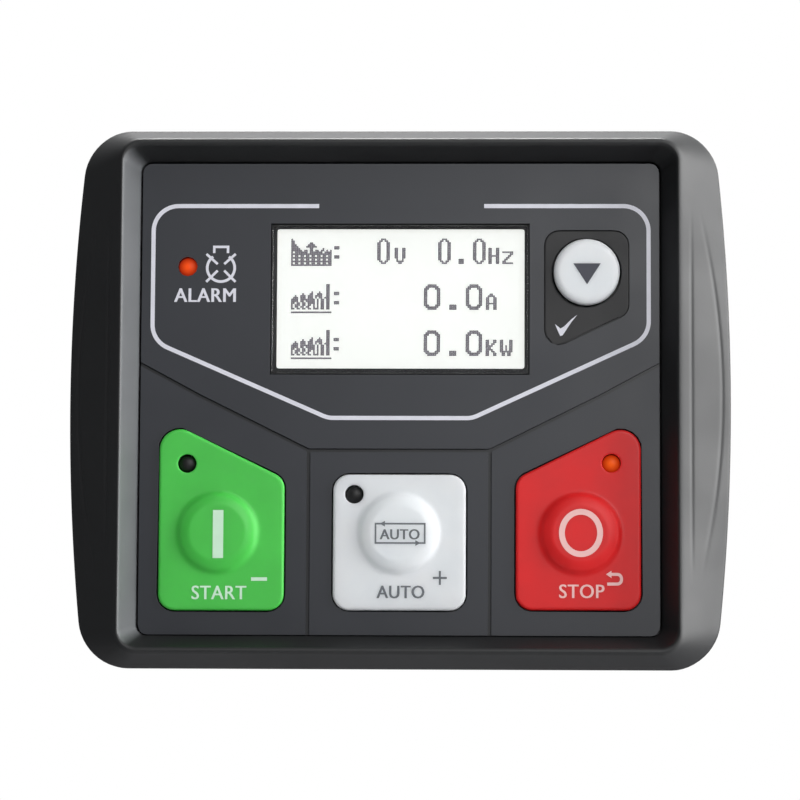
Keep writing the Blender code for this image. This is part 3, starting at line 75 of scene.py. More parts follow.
# Half sizes of the nested outlines
FRONT_HALF, CREST_OUTER, CREST_INNER = in_mm((55.05, 45.0), (46.45, 42.7), (46.0, 41.75))
FACE_HALF, BODY_HALF, INNER_HALF = in_mm((43.45, 39.6), (45.7, 37.7), (43.3, 35.3))
LAP_HALF, POST_AT = in_mm((44.4, 36.4), (39.6, 31.6))
BOARD_SCREWS = [(s * x * MM, z * MM) for x, z in ((33.0, 31.2), (15.025, -28.2)) for s in (-1, 1)]
WINDOW_MIDDLE = 16.5 * MM
BOW_RADIUS = 370 * MM

# The hollows behind the side slopes
HOLLOW_END = 34 * MM
HOLLOW_BOW = HOLLOW_END**2 / (2 * BOW_RADIUS)
HOLLOW_RIB = 1.6 * MM
SLOPE_NORMAL = (0.565, -0.825)

# Keys as (x, z, base radius), lamps as (x, z, front), and pads as corners from the lower left
KEY_PLACES = {"start": -30.05, "auto": 0.0, "stop": 30.05}
KEYS = {name: (x * MM, -22.65 * MM, 6.85 * MM) for name, x in KEY_PLACES.items()}
PAGE_KEY = (31.1 * MM, 21.0 * MM, 5.5 * MM)
LAMPS = {
    "alarm": (-35.5 * MM, 21.95 * MM, FACE),
    "start": (-35.2 * MM, -11.15 * MM, PAD),
    "auto": (-7.4 * MM, -16.2 * MM, PAD),
    "stop": (35.15 * MM, -10.95 * MM, PAD),
}
PADS = {
    "start": in_mm((-39.85, -35.5), (-19.0, -35.5), (-19.0, -13.6), (-39.85, -3.35)),
    "auto": in_mm((-10.9, -35.4), (11.1, -35.4), (11.1, -12.9), (-10.9, -12.9)),
    "stop": in_mm((19.35, -35.3), (40.05, -35.3), (40.05, -3.3), (19.35, -13.5)),
}
PAD_RADII = {"start": (2.7, 2.7, 2.7, 3.4), "auto": (2.7, 2.7, 2.7, 2.7), "stop": (2.7, 2.7, 3.4, 2.7)}

CORNER_STEPS = 12
SIDE_STEPS = 72
ARC_STEPS = 6
SHORT_OF_NEXT = 0.09  # the share of a slope that its inner rings leave to the next corner
ROUND = 48

NOISE_LOW, NOISE_HIGH = 0.3, 0.7  # where nearly all of a noise's values lie
GROOVE_FADE, GROOVE_SHADE = 0.12, 0.45  # mm over which the painted shade in a groove deepens, and the painted shade it ends at
GLOW_CORE, GLOW_END = 0.3 * MM, 1.5 * MM  # where a lamp's glow starts and ends its fade


def linear(code):
    """A six-digit sRGB hex as a linear colour."""
    shares = [int(code[i : i + 2], 16) / 255 for i in (0, 2, 4)]
    return (*[s / 12.92 if s <= 0.04045 else ((s + 0.055) / 1.055) ** 2.4 for s in shares], 1)


def put(tree, kind, inputs=None, **settings):
    """Adds a node with its settings. An input is a value, or another node's output to link. A kind
    without Node in its name is one of the tree's own kinds."""
    made = tree.nodes.new(kind if "Node" in kind else tree.bl_idname.removesuffix("Tree") + kind)
    for name, value in settings.items():
        setattr(made, name, value)
    for name, value in (inputs or {}).items():
        if isinstance(value, bpy.types.NodeSocket):
            tree.links.new(value, made.inputs[name])
        else:
            made.inputs[name].default_value = value
    return made


def finish(
    name, code, rough, grain, depth, patch=9.0, mottle=0.06, uneven=0.05, stretch=(1, 1, 1), painted_shade_depth=None,
    **constants,
):
    """A solid-coloured finish: grain and patch are the real widths in mm of its fine texture and of
    its slow changes of shade, depth is the height of the texture in mm. Mottle and uneven say how far
    the shade and the roughness stray. Past a Y given in mm the colour is painted darker: painted shade
    in the bottoms of grooves and on the edges of openings."""
    material = bpy.data.materials.new(name)
    material.use_nodes = True
    material.diffuse_color = linear(code)
    tree = material.node_tree
    shader = tree.nodes["Principled BSDF"]
    for socket, value in constants.items():
        shader.inputs[socket.replace("_", " ")].default_value = value
    place = put(tree, "TexCoord").outputs["Object"]
    here = put(tree, "Mapping", {"Vector": place, "Scale": stretch}).outputs["Vector"]
    fine = put(tree, "TexNoise", {"Vector": here, "Scale": 1 / (grain * MM), "Detail": 3.0})
    slow = put(tree, "TexNoise", {"Vector": here, "Scale": 1 / (patch * MM), "Detail": 4.0})
    noise = {"Value": slow.outputs["Fac"], "From Min": NOISE_LOW, "From Max": NOISE_HIGH}
    value, gloss = (
        put(tree, "MapRange", noise | {"To Min": mean - by, "To Max": mean + by}).outputs["Result"]
        for mean, by in ((1, mottle), (rough, uneven))
    )
    # painted shade: past the given depth the colour is painted darker, as shade in grooves and on edges
    if painted_shade_depth:
        fade = {"Value": put(tree, "SeparateXYZ", {"Vector": place}).outputs["Y"]}
        fade |= {"From Min": painted_shade_depth * MM, "From Max": (painted_shade_depth + GROOVE_FADE) * MM, "To Min": 1.0}
        painted_groove_shade = put(tree, "MapRange", fade | {"To Max": GROOVE_SHADE}).outputs["Result"]
        value = put(tree, "Math", {0: value, 1: painted_groove_shade}, operation="MULTIPLY").outputs["Value"]
    tinted = put(tree, "HueSaturation", {"Color": linear(code), "Value": value})
    relief = put(tree, "Bump", {"Height": fine.outputs["Fac"], "Distance": depth * MM, "Strength": 1.0})
    tree.links.new(tinted.outputs["Color"], shader.inputs["Base Color"])
    tree.links.new(gloss, shader.inputs["Roughness"])
    tree.links.new(relief.outputs["Normal"], shader.inputs["Normal"])
    return material


def glowing(material, code, strength, middle=None, rim="000000"):
    """Makes a finish glow. Round a middle given as (x, z), the glow fades to the rim's colour."""
    tree = material.node_tree
    shader = tree.nodes["Principled BSDF"]
    shader.inputs["Emission Color"].default_value = linear(code)
    shader.inputs["Emission Strength"].default_value = strength
    if middle:
        here = put(tree, "TexCoord").outputs["Object"]
        flat = put(tree, "VectorMath", {0: here, 1: (1, 0, 1)}, operation="MULTIPLY").outputs["Vector"]
        axis = (middle[0], 0, middle[1])
        far = put(tree, "VectorMath", {0: flat, 1: axis}, operation="DISTANCE").outputs["Value"]
        share = put(tree, "MapRange", {"Value": far, "From Min": GLOW_CORE, "From Max": GLOW_END})
        ends = {0: share.outputs["Result"], 6: linear(code), 7: linear(rim)}
        mix = put(tree, "Mix", ends, data_type="RGBA")
        tree.links.new(mix.outputs[2], shader.inputs["Emission Color"])


def paint_left_wall_light(material, light_gain):
    """Paints light onto the recess's left wall, which faces the lamp at the right: a painted highlight
    that multiplies its shade by a gain and raises its gloss. The export drops the gloss, which is a
    linked specular level."""
    tree = material.node_tree
    tint = next(node for node in tree.nodes if node.type == "HUE_SAT").inputs["Value"]
    place = put(tree, "SeparateXYZ", {"Vector": put(tree, "TexCoord").outputs["Object"]})
    facing = put(tree, "SeparateXYZ", {"Vector": put(tree, "NewGeometry").outputs["Normal"]})
    left = put(tree, "Math", {0: place.outputs["X"], 1: 0.0}, operation="LESS_THAN").outputs[0]
    inward = put(tree, "Math", {0: facing.outputs["X"], 1: left}, operation="MULTIPLY").outputs[0]
    turned_in = {"Value": inward, "From Min": 0.35, "From Max": 0.85}
    # painted highlight: the inward-facing left wall's shade is multiplied by the gain and its specular level
    # raised
    painted_light, painted_gloss = (
        put(tree, "MapRange", turned_in | {"To Min": plain, "To Max": full}).outputs["Result"]
        for plain, full in ((1.0, light_gain), (0.5, 1.0))
    )
    both = put(tree, "Math", {0: tint.links[0].from_socket, 1: painted_light}, operation="MULTIPLY")
    tree.links.new(both.outputs[0], tint)
    tree.links.new(painted_gloss, tree.nodes["Principled BSDF"].inputs["Specular IOR Level"])


def ink(name, code):
    return finish(name, code, 0.55, grain=0.3, depth=0.003, patch=3, mottle=0.04)


# ABS moulded against a spark-eroded tool: black with a soft satin sheen. The real grain is about
# 0.05 mm and is drawn coarser so that it shows.
BLACK_ABS = finish(
    "satin_moulded_abs", "1b1c1d", 0.53, grain=0.30, depth=0.006, patch=14, mottle=0.10, IOR=1.56
)
# painted light: the recess's left wall is painted nine times lighter and glossier, a painted highlight
paint_left_wall_light(BLACK_ABS, 9.0)
# The same plastic behind the panel, from a coarser tool: duller and more matt.
CASE_ABS = finish("textured_case_abs", "202123", 0.55, grain=0.45, depth=0.016, patch=16, mottle=0.05)
# Polycarbonate film printed on its back: flat dark grey with a velvet surface.
# Past 0.1 mm behind its front, in its grooves and on the edges of its openings, it is painted darker: painted
# shade.
FACE_FILM = finish(
    "velvet_polycarbonate_film", "25282f", 0.44, grain=0.28, depth=0.004, patch=16, mottle=0.05, painted_shade_depth=-5.4,
    IOR=1.58,
)
# Silkscreen inks: opaque and slightly uneven.
PALE_INK = ink("pale_silkscreen_ink", "e6e6ef")
MINT_INK = ink("mint_silkscreen_ink", "d8fbde")
ROSE_INK = ink("rose_silkscreen_ink", "ffcac6")
GREY_INK = ink("grey_silkscreen_ink", "6b7076")
SLATE_INK = ink("slate_silkscreen_ink", "43454f")
# Mask ink: a flat black border that hides the display's edge.
MASK_INK = finish("black_mask_ink", "121315", 0.6, grain=0.3, depth=0.002, patch=4, mottle=0.1)
# Silicone rubber from a polished mould: saturated, soft-looking, with a broad highlight. Light
# spreads about a millimetre inside it, which softens the shading of the domes.
SILICONE = {
    "rough": 0.46, "grain": 0.5, "depth": 0.005, "patch": 7, "mottle": 0.05,
    "Subsurface_Weight": 0.6, "Subsurface_Radius": (1.0, 1.0, 1.0), "Subsurface_Scale": 1.4 * MM,
}
MILKY = {"mottle": 0.03, "Subsurface_Weight": 0.8, "Subsurface_Scale": 2.4 * MM}
GREEN_SILICONE = finish("moulded_green_silicone", "4ecf51", **SILICONE)
WHITE_SILICONE = finish("moulded_white_silicone", "f1f6ff", **(SILICONE | MILKY))
RED_SILICONE = finish("moulded_red_silicone", "e62022", Specular_IOR_Level=0.38, **SILICONE)
# The same rubber filled with black: duller, and no light enters it.
DARK_SILICONE = finish("moulded_dark_silicone", "2a2a2b", 0.55, grain=0.4, depth=0.006, patch=6, mottle=0.08)
# Pressed carbon: dull and sooty.
CARBON = finish("pressed_carbon_rubber", "171718", 0.7, grain=0.2, depth=0.01, patch=2, mottle=0.15)
# Closed-cell foam: dead matt with open pores on its cut edge.
FOAM = finish("cut_cell_foam", "1f1f20", 0.92, grain=0.6, depth=0.10, patch=5, mottle=0.2)
# Clear polycarbonate: a faint sheen over what lies behind it.
CLEAR = finish(
    "clear_cast_polycarbonate", "ffffff", 0.06, grain=4, depth=0.0005, patch=20, mottle=0.0, uneven=0.02,
    Transmission_Weight=1.0, IOR=1.58,
)
# Display glass lit from behind: an almost white, slightly cool glow.
LIT_GLASS = finish("backlit_display_glass", "b4b8b8", 0.3, grain=6, depth=0.001, patch=18, mottle=0.02)
glowing(LIT_GLASS, "fdfffa", 0.85)
# Liquid crystal: flat grey dots, which the light behind them shows through a little.
SEGMENT = finish("liquid_crystal_dots", "66636b", 0.5, grain=0.3, depth=0.001, patch=4, mottle=0.10)
glowing(SEGMENT, "6a666e", 0.6)
# Epoxy lamp lenses: a drop of coloured resin that glows from its middle, or a dark one.
LENS = {"rough": 0.45, "grain": 2, "depth": 0.002, "patch": 2, "mottle": 0.08, "Specular_IOR_Level": 0.15}
LIT_LENS = finish("glowing_epoxy_lens", "802008", **LENS)
glowing(LIT_LENS, "ff5616", 0.74, LAMPS["alarm"][:2], "9c2410")
DIM_LENS = finish("dim_epoxy_lens", "741a06", **LENS)
glowing(DIM_LENS, "ff6410", 0.70, LAMPS["stop"][:2], "a01c08")
DARK_LENS = finish("smoked_epoxy_lens", "0a0a0b", 0.5, grain=2, depth=0.002, patch=2, mottle=0.1)
# Acrylic light guide: milky and smooth.
WHITE_GUIDE = finish("milky_acrylic", "e8eaec", 0.35, grain=2, depth=0.003, patch=8)
# Glass-epoxy board under a green solder mask: the weave shows as a fine ripple.
LAMINATE = finish("solder_masked_laminate", "17552f", 0.32, grain=0.5, depth=0.01, patch=3, mottle=0.2)
# Filled epoxy and glass-filled plastics: dull, with the mould's fine grain.
CHIP_EPOXY = finish("matt_moulded_epoxy", "242528", 0.6, grain=0.3, depth=0.01, patch=4)
RELAY_PBT = finish("moulded_blue_pbt", "24559a", 0.4, grain=0.4, depth=0.008, patch=6)
PLUG_PA = finish("moulded_green_polyamide", "237a3e", 0.48, grain=0.4, depth=0.010, patch=6, mottle=0.08)
CLIP_PA = finish("glass_filled_nylon", "262729", 0.55, grain=0.5, depth=0.02, patch=5, mottle=0.12)
# Drawn aluminium: bright, with streaks along the can.
CAN = finish(
    "drawn_aluminium_can", "bfc2c6", 0.3, grain=0.3, depth=0.004, patch=3, stretch=(1, 0.1, 1), Metallic=1.0
)
# Zinc-plated steel: bluish grey, clouded and uneven in its shine.
ZINC = finish(
    "zinc_plated_steel", "b9bcc1", 0.28, grain=0.2, depth=0.004, patch=1.5, mottle=0.12, uneven=0.08,
    Metallic=1.0,
)


def rectangle(half_width, half_height, x=0.0, z=0.0):
    """The corners of a rectangle, anticlockwise from the lower left."""
    return [(x + a * half_width, z + b * half_height) for a, b in ((-1, -1), (1, -1), (1, 1), (-1, 1))]


def circle(x, z, radius, steps=ROUND):
    turns = [2 * math.pi * step / steps for step in range(steps)]
    return [(x + radius * math.cos(turn), z + radius * math.sin(turn)) for turn in turns]


def grown(corners, by):
    """The corners of an anticlockwise polygon whose sides lie further out."""
    moved = []
    for i, corner in enumerate(corners):
        here = Vector(corner)
        into = (here - Vector(corners[i - 1])).normalized()
        away = (Vector(corners[(i + 1) % len(corners)]) - here).normalized()
        normals = Vector((into.y, -into.x)), Vector((away.y, -away.x))
        moved.append(tuple(here + sum(normals, Vector((0, 0))) / (1 + normals[0].dot(normals[1])) * by))
    return moved


def rounded(corners, radii, steps=CORNER_STEPS, closed=True):
    """A polygon's outline, or an open path, with its corners turned into arcs of one radius or of a
    list of them."""
    outline = []
    for i, corner in enumerate(corners):
        radius = radii[i] if isinstance(radii, list) else radii
        if not closed and i in (0, len(corners) - 1):
            outline.append(corner)
            continue
        here = Vector(corner)
        before = (Vector(corners[i - 1]) - here).normalized()
        after = (Vector(corners[(i + 1) % len(corners)]) - here).normalized()
        half_angle = before.angle(after) / 2
        centre = here + (before + after).normalized() * radius / math.sin(half_angle)
        reach = radius / math.tan(half_angle)
        start, end = here + before * reach - centre, here + after * reach - centre
        first = math.atan2(start.y, start.x)
        sweep = (math.atan2(end.y, end.x) - first + math.pi) % (2 * math.pi) - math.pi
        for step in range(steps + 1):
            angle = first + sweep * step / steps
            outline.append((centre.x + radius * math.cos(angle), centre.y + radius * math.sin(angle)))
    return outline


def stroke(points, width):
    """The outline of a line of that width through the points, mitred at its bends."""
    runs = [(Vector(b) - Vector(a)).normalized() for a, b in zip(points, points[1:])]
    normals = [Vector((run.y, -run.x)) for run in runs]
    left, right = [], []
    for point, into, away in zip(points, normals[:1] + normals, normals + normals[-1:]):
        mitre = (into + away) / (1 + into.dot(away)) * width / 2
        right.append(tuple(Vector(point) + mitre))
        left.append(tuple(Vector(point) - mitre))
    return right + left[::-1]


def tidied(mesh):
    """Merges a mesh's doubles and turns its faces outwards."""
    bm = bmesh.new()
    bm.from_mesh(mesh)
    bmesh.ops.remove_doubles(bm, verts=bm.verts, dist=MERGE)
    bmesh.ops.recalc_face_normals(bm, faces=bm.faces)
    bm.to_mesh(mesh)
    bm.free()
    return mesh


def plain_mesh(obj):
    """The evaluated mesh of an object, which is then removed."""
    bpy.context.view_layer.update()
    mesh = bpy.data.meshes.new_from_object(obj.evaluated_get(bpy.context.evaluated_depsgraph_get()))
    bpy.data.objects.remove(obj, do_unlink=True)
    return mesh


def linked(name, data):
    obj = bpy.data.objects.new(name, data)
    bpy.context.scene.collection.objects.link(obj)
    return obj


def stand_up(mesh, front, back):
    """Turns a flat mesh drawn in local XY to the front and puts it between two planes along Y."""
    mesh.transform(Matrix.Translation((0, (front + back) / 2, 0)) @ Matrix.Rotation(math.pi / 2, 4, "X"))
    return tidied(mesh)


def slab(outlines, front, back):
    """A filled plate between two planes along Y, with its inner outlines as holes."""
    curve = bpy.data.curves.new("slab", "CURVE")
    curve.dimensions = "2D"
    curve.fill_mode = "BOTH"
    curve.extrude = (back - front) / 2
    for outline in outlines:
        spline = curve.splines.new("POLY")
        spline.points.add(len(outline) - 1)
        for point, (x, z) in zip(spline.points, outline):
            point.co = (x, z, 0, 1)
        spline.use_cyclic_u = True
    return stand_up(plain_mesh(linked("slab", curve)), front, back)


def word(text, left, right, bottom, top, weight, front, back):
    """A word whose letters fill a box, given in mm, on the plane of its carrier. Weight in mm thickens
    its upright strokes. A word with equal left and right is centred there at its natural width."""
    curve = bpy.data.curves.new("word", "FONT")
    curve.body = text
    curve.resolution_u = 4
    curve.space_character = 1.06
    curve.extrude = (back - front) / 2
    flat = plain_mesh(linked("word", curve))
    xs = [v.co.x for v in flat.vertices]
    ys = [v.co.y for v in flat.vertices]
    tall = (top - bottom) * MM / (max(ys) - min(ys))
    wide = (right - left - 2 * weight) * MM / (max(xs) - min(xs)) if right > left else tall
    if right == left:
        left -= wide / MM * (max(xs) - min(xs)) / 2 + weight
    to_corner = Matrix.Translation((-min(xs), -min(ys), 0))
    copies = []
    for layer in range(3):
        copy = flat.copy()
        shift = Matrix.Translation(((left + weight * layer) * MM, bottom * MM, 0))
        copy.transform(shift @ Matrix.Diagonal((wide, tall, 1, 1)) @ to_corner)
        copies.append(stand_up(copy, front - layer * HAIR, back))
    return gathered(*copies)


def row_of(bm, outline, y):
    """New vertices along an outline in the plane Y = y."""
    return [bm.verts.new((x, y, z)) for x, z in outline]


def join_rows(bm, rows, closed=False):
    """Faces from each row of vertices to the next. A row of one vertex is a pole."""
    for low, high in zip(rows, rows[1:] + (rows[:1] if closed else [])):
        steps = max(len(low), len(high))
        for i in range(steps):
            j = (i + 1) % steps
            corners = [low[i % len(low)], low[j % len(low)], high[j % len(high)], high[i % len(high)]]
            bm.faces.new(list(dict.fromkeys(corners)))


def closed_mesh(bm, name):
    """What was built as a new mesh, its faces turned outwards."""
    bmesh.ops.recalc_face_normals(bm, faces=bm.faces)
    mesh = bpy.data.meshes.new(name)
    bm.to_mesh(mesh)
    bm.free()
    return mesh


def turned(x, z, profile, steps=ROUND):
    """A profile of (radius, y) points turned about the line along Y through (x, z)."""
    bm = bmesh.new()
    outlines = [(circle(x, z, radius, steps) if radius else [(x, z)], y) for radius, y in profile]
    join_rows(bm, [row_of(bm, outline, y) for outline, y in outlines])
    return closed_mesh(bm, "turned")


def boxes(pairs):
    """Separate boxes in one mesh, each from its low and high corner."""
    bm = bmesh.new()
    for low, high in pairs:
        size = Matrix.Diagonal((*(Vector(high) - Vector(low)), 1))
        bmesh.ops.create_cube(bm, size=1, matrix=Matrix.Translation((Vector(low) + Vector(high)) / 2) @ size)
    return closed_mesh(bm, "boxes")


def gathered(*meshes):
    """Several meshes as one."""
    bm = bmesh.new()
    for mesh in meshes:
        bm.from_mesh(mesh)
    whole = bpy.data.meshes.new("gathered")
    bm.to_mesh(whole)
    bm.free()
    return whole


def solved(mesh, cutters=(), joined=()):
    """The mesh after others are joined to it and cut from it."""
    body = linked("body", mesh)
    tools = []
    for operation, group in (("UNION", joined), ("DIFFERENCE", cutters)):
        for other in group:
            tools.append(linked("tool", other))
            step = body.modifiers.new(operation, "BOOLEAN")
            step.operation = operation
            step.object = tools[-1]
    made = plain_mesh(body)
    for tool in tools:
        bpy.data.objects.remove(tool, do_unlink=True)
    return tidied(made)


def piece(name, mesh, material, body=ROOT, stands_for=(), sharp=32):
    """A finished piece at the origin that rides on a body and may stand for CAD nodes."""
    mesh.name = name
    mesh.materials.clear()
    mesh.materials.append(material)
    mesh.shade_smooth()
    mesh.set_sharp_from_angle(angle=math.radians(sharp))
    obj = linked(name, mesh)
    even = obj.modifiers.new("even_shading", "WEIGHTED_NORMAL")  # keeps flat faces flat by soft edges
    even.keep_sharp = True
    if body:
        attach(obj, body)
    if stands_for:
        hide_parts(*stands_for)
    return obj


def recast(node, edge):
    """A copy of a CAD node's mesh with its doubles merged and its edges softened by mm."""
    copy = NODES[node].data.copy()
    for name in ("custom_normal", "sharp_edge", "sharp_face"):
        if copy.attributes.get(name):
            copy.attributes.remove(copy.attributes[name])
    bm = bmesh.new()
    bm.from_mesh(copy)
    bmesh.ops.remove_doubles(bm, verts=bm.verts, dist=MERGE)
    bmesh.ops.dissolve_limit(bm, angle_limit=math.radians(1), verts=bm.verts, edges=bm.edges)
    bm.to_mesh(copy)
    bm.free()
    copy.shade_smooth()
    obj = linked(node + "_copy", copy)
    soft = obj.modifiers.new("soft_edges", "BEVEL")
    soft.limit_method = "ANGLE"
    soft.angle_limit = math.radians(32)
    soft.width = edge * MM
    soft.segments = 2
    return plain_mesh(obj)


def redrawn(name, node, edge, slot, body=ROOT):
    """A piece that stands for a CAD node in the node's own shape and finish, with its edges softened."""
    piece(name, recast(node, edge), NODE_FINISH[slot], body, (node,))


def ring(half, corner, y, bow=0.0):
    """One ring of the frame's loft: a rounded rectangle, its two sides bowed. Corner and y are in mm."""
    outline = rounded(rectangle(*half), corner * MM)
    points = []
    for i, (x, z) in enumerate(outline):
        points.append((x, z))
        if i + 1 in (2 * (CORNER_STEPS + 1), 4 * (CORNER_STEPS + 1)):
            nx, nz = outline[(i + 1) % len(outline)]
            shares = [step / SIDE_STEPS for step in range(1, SIDE_STEPS)]
            points += [(x + (nx - x) * s, z + (nz - z) * s) for s in shares]
    return [Vector((x - bow * x / half[0] * z * z / (2 * BOW_RADIUS), y * MM, z)) for x, z in points]


def mixed(first, second, share):
    return [a.lerp(b, share) for a, b in zip(first, second)]


def softened(rings, cuts, fills):
    """The rings of a loft with each inner one rounded off. A cut gives the shares of the way to the
    rings before and after, and a fill the number of rings put in after a corner."""
    path = [rings[0]]
    for before, here, after, (back, ahead), fill in zip(rings, rings[1:], rings[2:], cuts, fills):
        first, last = mixed(here, before, back), mixed(here, after, ahead)
        for step in range(ARC_STEPS + 1):
            t = step / ARC_STEPS
            path.append(mixed(mixed(first, here, t), mixed(here, last, t), t))
        for step in range(1, fill + 1):
            path.append(mixed(last, mixed(after, here, SHORT_OF_NEXT), step / (fill + 1)))
    return path + [rings[-1]]


def grip_groove(point):
    """How deep the two fine grooves on each side slope are here: a straight one and an arc."""
    x, z = abs(point.x) / MM, point.z / MM - 0.5
    if x < 47.2 or abs(z) > 30 or point.y > -4.9 * MM:
        return 0.0
    arc = 53.6 - 3.4 * (z / 28.5) ** 2
    fade = 1 - (abs(z) / 30) ** 4
    lines = sum(math.exp(-(((x - at) / 0.28) ** 2)) for at in (48.35, arc))
    return 0.12 * MM * lines * fade


def slope_depth(x):
    """The CAD's depth of the side slope at the ends of the hollows behind it."""
    outer, inner = (54.7 * MM - HOLLOW_BOW, -4.75 * MM), (47.15 * MM, -10.0 * MM)
    return outer[1] + (outer[0] - x) / (outer[0] - inner[0]) * (inner[1] - outer[1])


def side_hollows():
    """What is cut from behind the side slopes, so that their wall is even."""
    near, far = 47.7 * MM, 53.05 * MM - HOLLOW_BOW
    pitch = (2 * HOLLOW_END + HOLLOW_RIB) / 4
    wall, back = 2 * MM, -0.9 * MM
    pairs = []
    for side in (-1, 1):
        low, high = sorted((side * near, side * far))
        for i in range(4):
            start = -HOLLOW_END + pitch * i
            pairs.append(((low, CREST, start), (high, back, start + pitch - HOLLOW_RIB)))
    mesh = boxes(pairs)
    for vertex in mesh.vertices:
        if vertex.co.y < CREST / 2:
            vertex.co.y = slope_depth(abs(vertex.co.x)) + wall
    return mesh


def front_frame():
    """The moulded frame: bowed sloping sides, a narrow soft crest, the recess and the skirt."""
    shown = softened(
        [
            ring(FRONT_HALF, 7.5, -0.9, 1),
            ring(FRONT_HALF, 7.5, -4.6, 1),
            ring(CREST_OUTER, 3.5, CREST / MM),
            ring(CREST_INNER, 3.05, CREST / MM),
            ring(FACE_HALF, 1.8, -5.2),
            ring(FACE_HALF, 1.8, -3.45),
        ],
        cuts=((0.12, 0.05), (0.09, 0.5), (0.5, 0.12), (0.05, 0.1)),
        fills=(58, 0, 4, 0),
    )
    for points in shown:
        for point in points:
            across = math.copysign(SLOPE_NORMAL[0], point.x)
            point -= Vector((across, SLOPE_NORMAL[1], 0)) * grip_groove(point)
    hidden = [
        ring(INNER_HALF, 0.6, -3.3),
        ring(INNER_HALF, 0.6, 8.0),
        ring(LAP_HALF, 1.7, 8.0),
        ring(LAP_HALF, 1.7, 5.6),
        ring(BODY_HALF, 3.0, 5.6),
        ring(BODY_HALF, 3.0, -1.8),
        ring((53.65 * MM, 43.6 * MM), 6.1, -1.8, 1),
        ring((53.65 * MM, 43.6 * MM), 6.1, -0.9, 1),
    ]
    bm = bmesh.new()
    join_rows(bm, [[bm.verts.new(point) for point in points] for points in shown + hidden], closed=True)
    shell = closed_mesh(bm, "shell")
    openings = [rectangle(21.0 * MM, 11.95 * MM, 0, WINDOW_MIDDLE + 0.35 * MM)]
    openings += [circle(x, z, radius - 0.55 * MM) for x, z, radius in (*KEYS.values(), PAGE_KEY)]
    openings += [circle(x, z, 1.65 * MM, 24) for x, z, _ in LAMPS.values()]
    floor = slab([rounded(rectangle(44.2 * MM, 36.2 * MM), 1.5 * MM)] + openings, FLOOR_FRONT, FLOOR_BACK)
    corners = [(a * POST_AT[0], b * POST_AT[1]) for a in (-1, 1) for b in (-1, 1)]
    stands = in_mm((0, -2.6), (3.2, -2.6), (3.2, 13.7), (1.6, 13.7), (1.6, 6.0), (0, 6.0))
    bosses = in_mm((0, -2.6), (2.2, -2.6), (2.2, 2.3), (1.2, 2.3), (1.2, -1.0), (0, -1.0))
    rods = [turned(x, z, stands, 24) for x, z in corners]
    rods += [turned(x, z, bosses, 24) for x, z in BOARD_SCREWS]
    pocket = boxes([((-23.3 * MM, -2.8 * MM, 1.7 * MM), (23.3 * MM, -0.4 * MM, 31.3 * MM))])
    mesh = solved(shell, cutters=(pocket, side_hollows()), joined=[floor, *rods])
    piece("front_frame", mesh, BLACK_ABS, stands_for=("front_shell",))


def pad_outline(name, inward=0.0):
    """A pad's outline, or one that lies further in."""
    return rounded(grown(PADS[name], -inward), [radius * MM - inward for radius in PAD_RADII[name]])


def nearest(outline, place):
    """The point of a closed outline that lies nearest to a place."""
    points = []
    for start, end in zip(outline, outline[1:] + outline[:1]):
        start, run = Vector(start), Vector(end) - Vector(start)
        points.append(start + run * max(0.0, min(1.0, (place - start).dot(run) / run.length_squared)))
    return min(points, key=lambda point: (point - place).length)


def face():
    """The film, its openings drawn close round the pads, with the page key's field and the window."""
    edge, gap, reach = 0.16 * MM, 0.15 * MM, 1.3 * MM
    lower_edge, lowered = -38.5 * MM, 0.2 * MM
    collar, field_growth = 0.6 * MM, 0.30 * MM
    film = recast("face_panel", edge / MM)
    outlines = [pad_outline(name) for name in PADS]
    for vertex in film.vertices:
        place = Vector((vertex.co.x, vertex.co.z))
        rim = min((nearest(outline, place) for outline in outlines), key=lambda point: (point - place).length)
        if (place - rim).length < reach:
            deep = min(edge, max(0.0, min(vertex.co.y - FACE, FACE_BACK - vertex.co.y)))
            rounding = edge - math.sqrt(edge**2 - (edge - deep) ** 2)
            moved = rim + (place - rim).normalized() * (gap + rounding)
            vertex.co.x, vertex.co.z = moved
        if vertex.co.z < lower_edge:
            vertex.co.z -= lowered
    piece("face_film", film, FACE_FILM, stands_for=("face_panel",))
    field = recast("page_pad", 0.12)
    x, z, radius = PAGE_KEY
    normals = [vertex.normal.copy() for vertex in field.vertices]
    for vertex, normal in zip(field.vertices, normals):
        if math.hypot(vertex.co.x - x, vertex.co.z - z) > radius + collar:
            vertex.co += Vector((normal.x, 0, normal.z)) * field_growth
    piece("page_field", field, DARK_SILICONE, stands_for=("page_pad",))
    redrawn("window_pane", "display_window", 0.04, "clear_polycarbonate")


def marks(name, carrier, body, material, outlines=(), words=(), rings=()):
    """The printed marks that one plane carries, as thin as ink. All sizes are in mm."""
    groups = [[outline] for outline in outlines] + list(rings)
    meshes = []
    for layer, group in enumerate(groups):
        lines = [in_mm(*line) for line in group]
        meshes.append(slab(lines, carrier - INK - layer * HAIR, carrier + INK))
    meshes += [word(*each, carrier - INK, carrier + INK) for each in words]
    piece(name, gathered(*meshes), material, body)


def oval(x, z, across, high):
    return [(x + across * a, z + high * b) for a, b in circle(0, 0, 1, 64)]


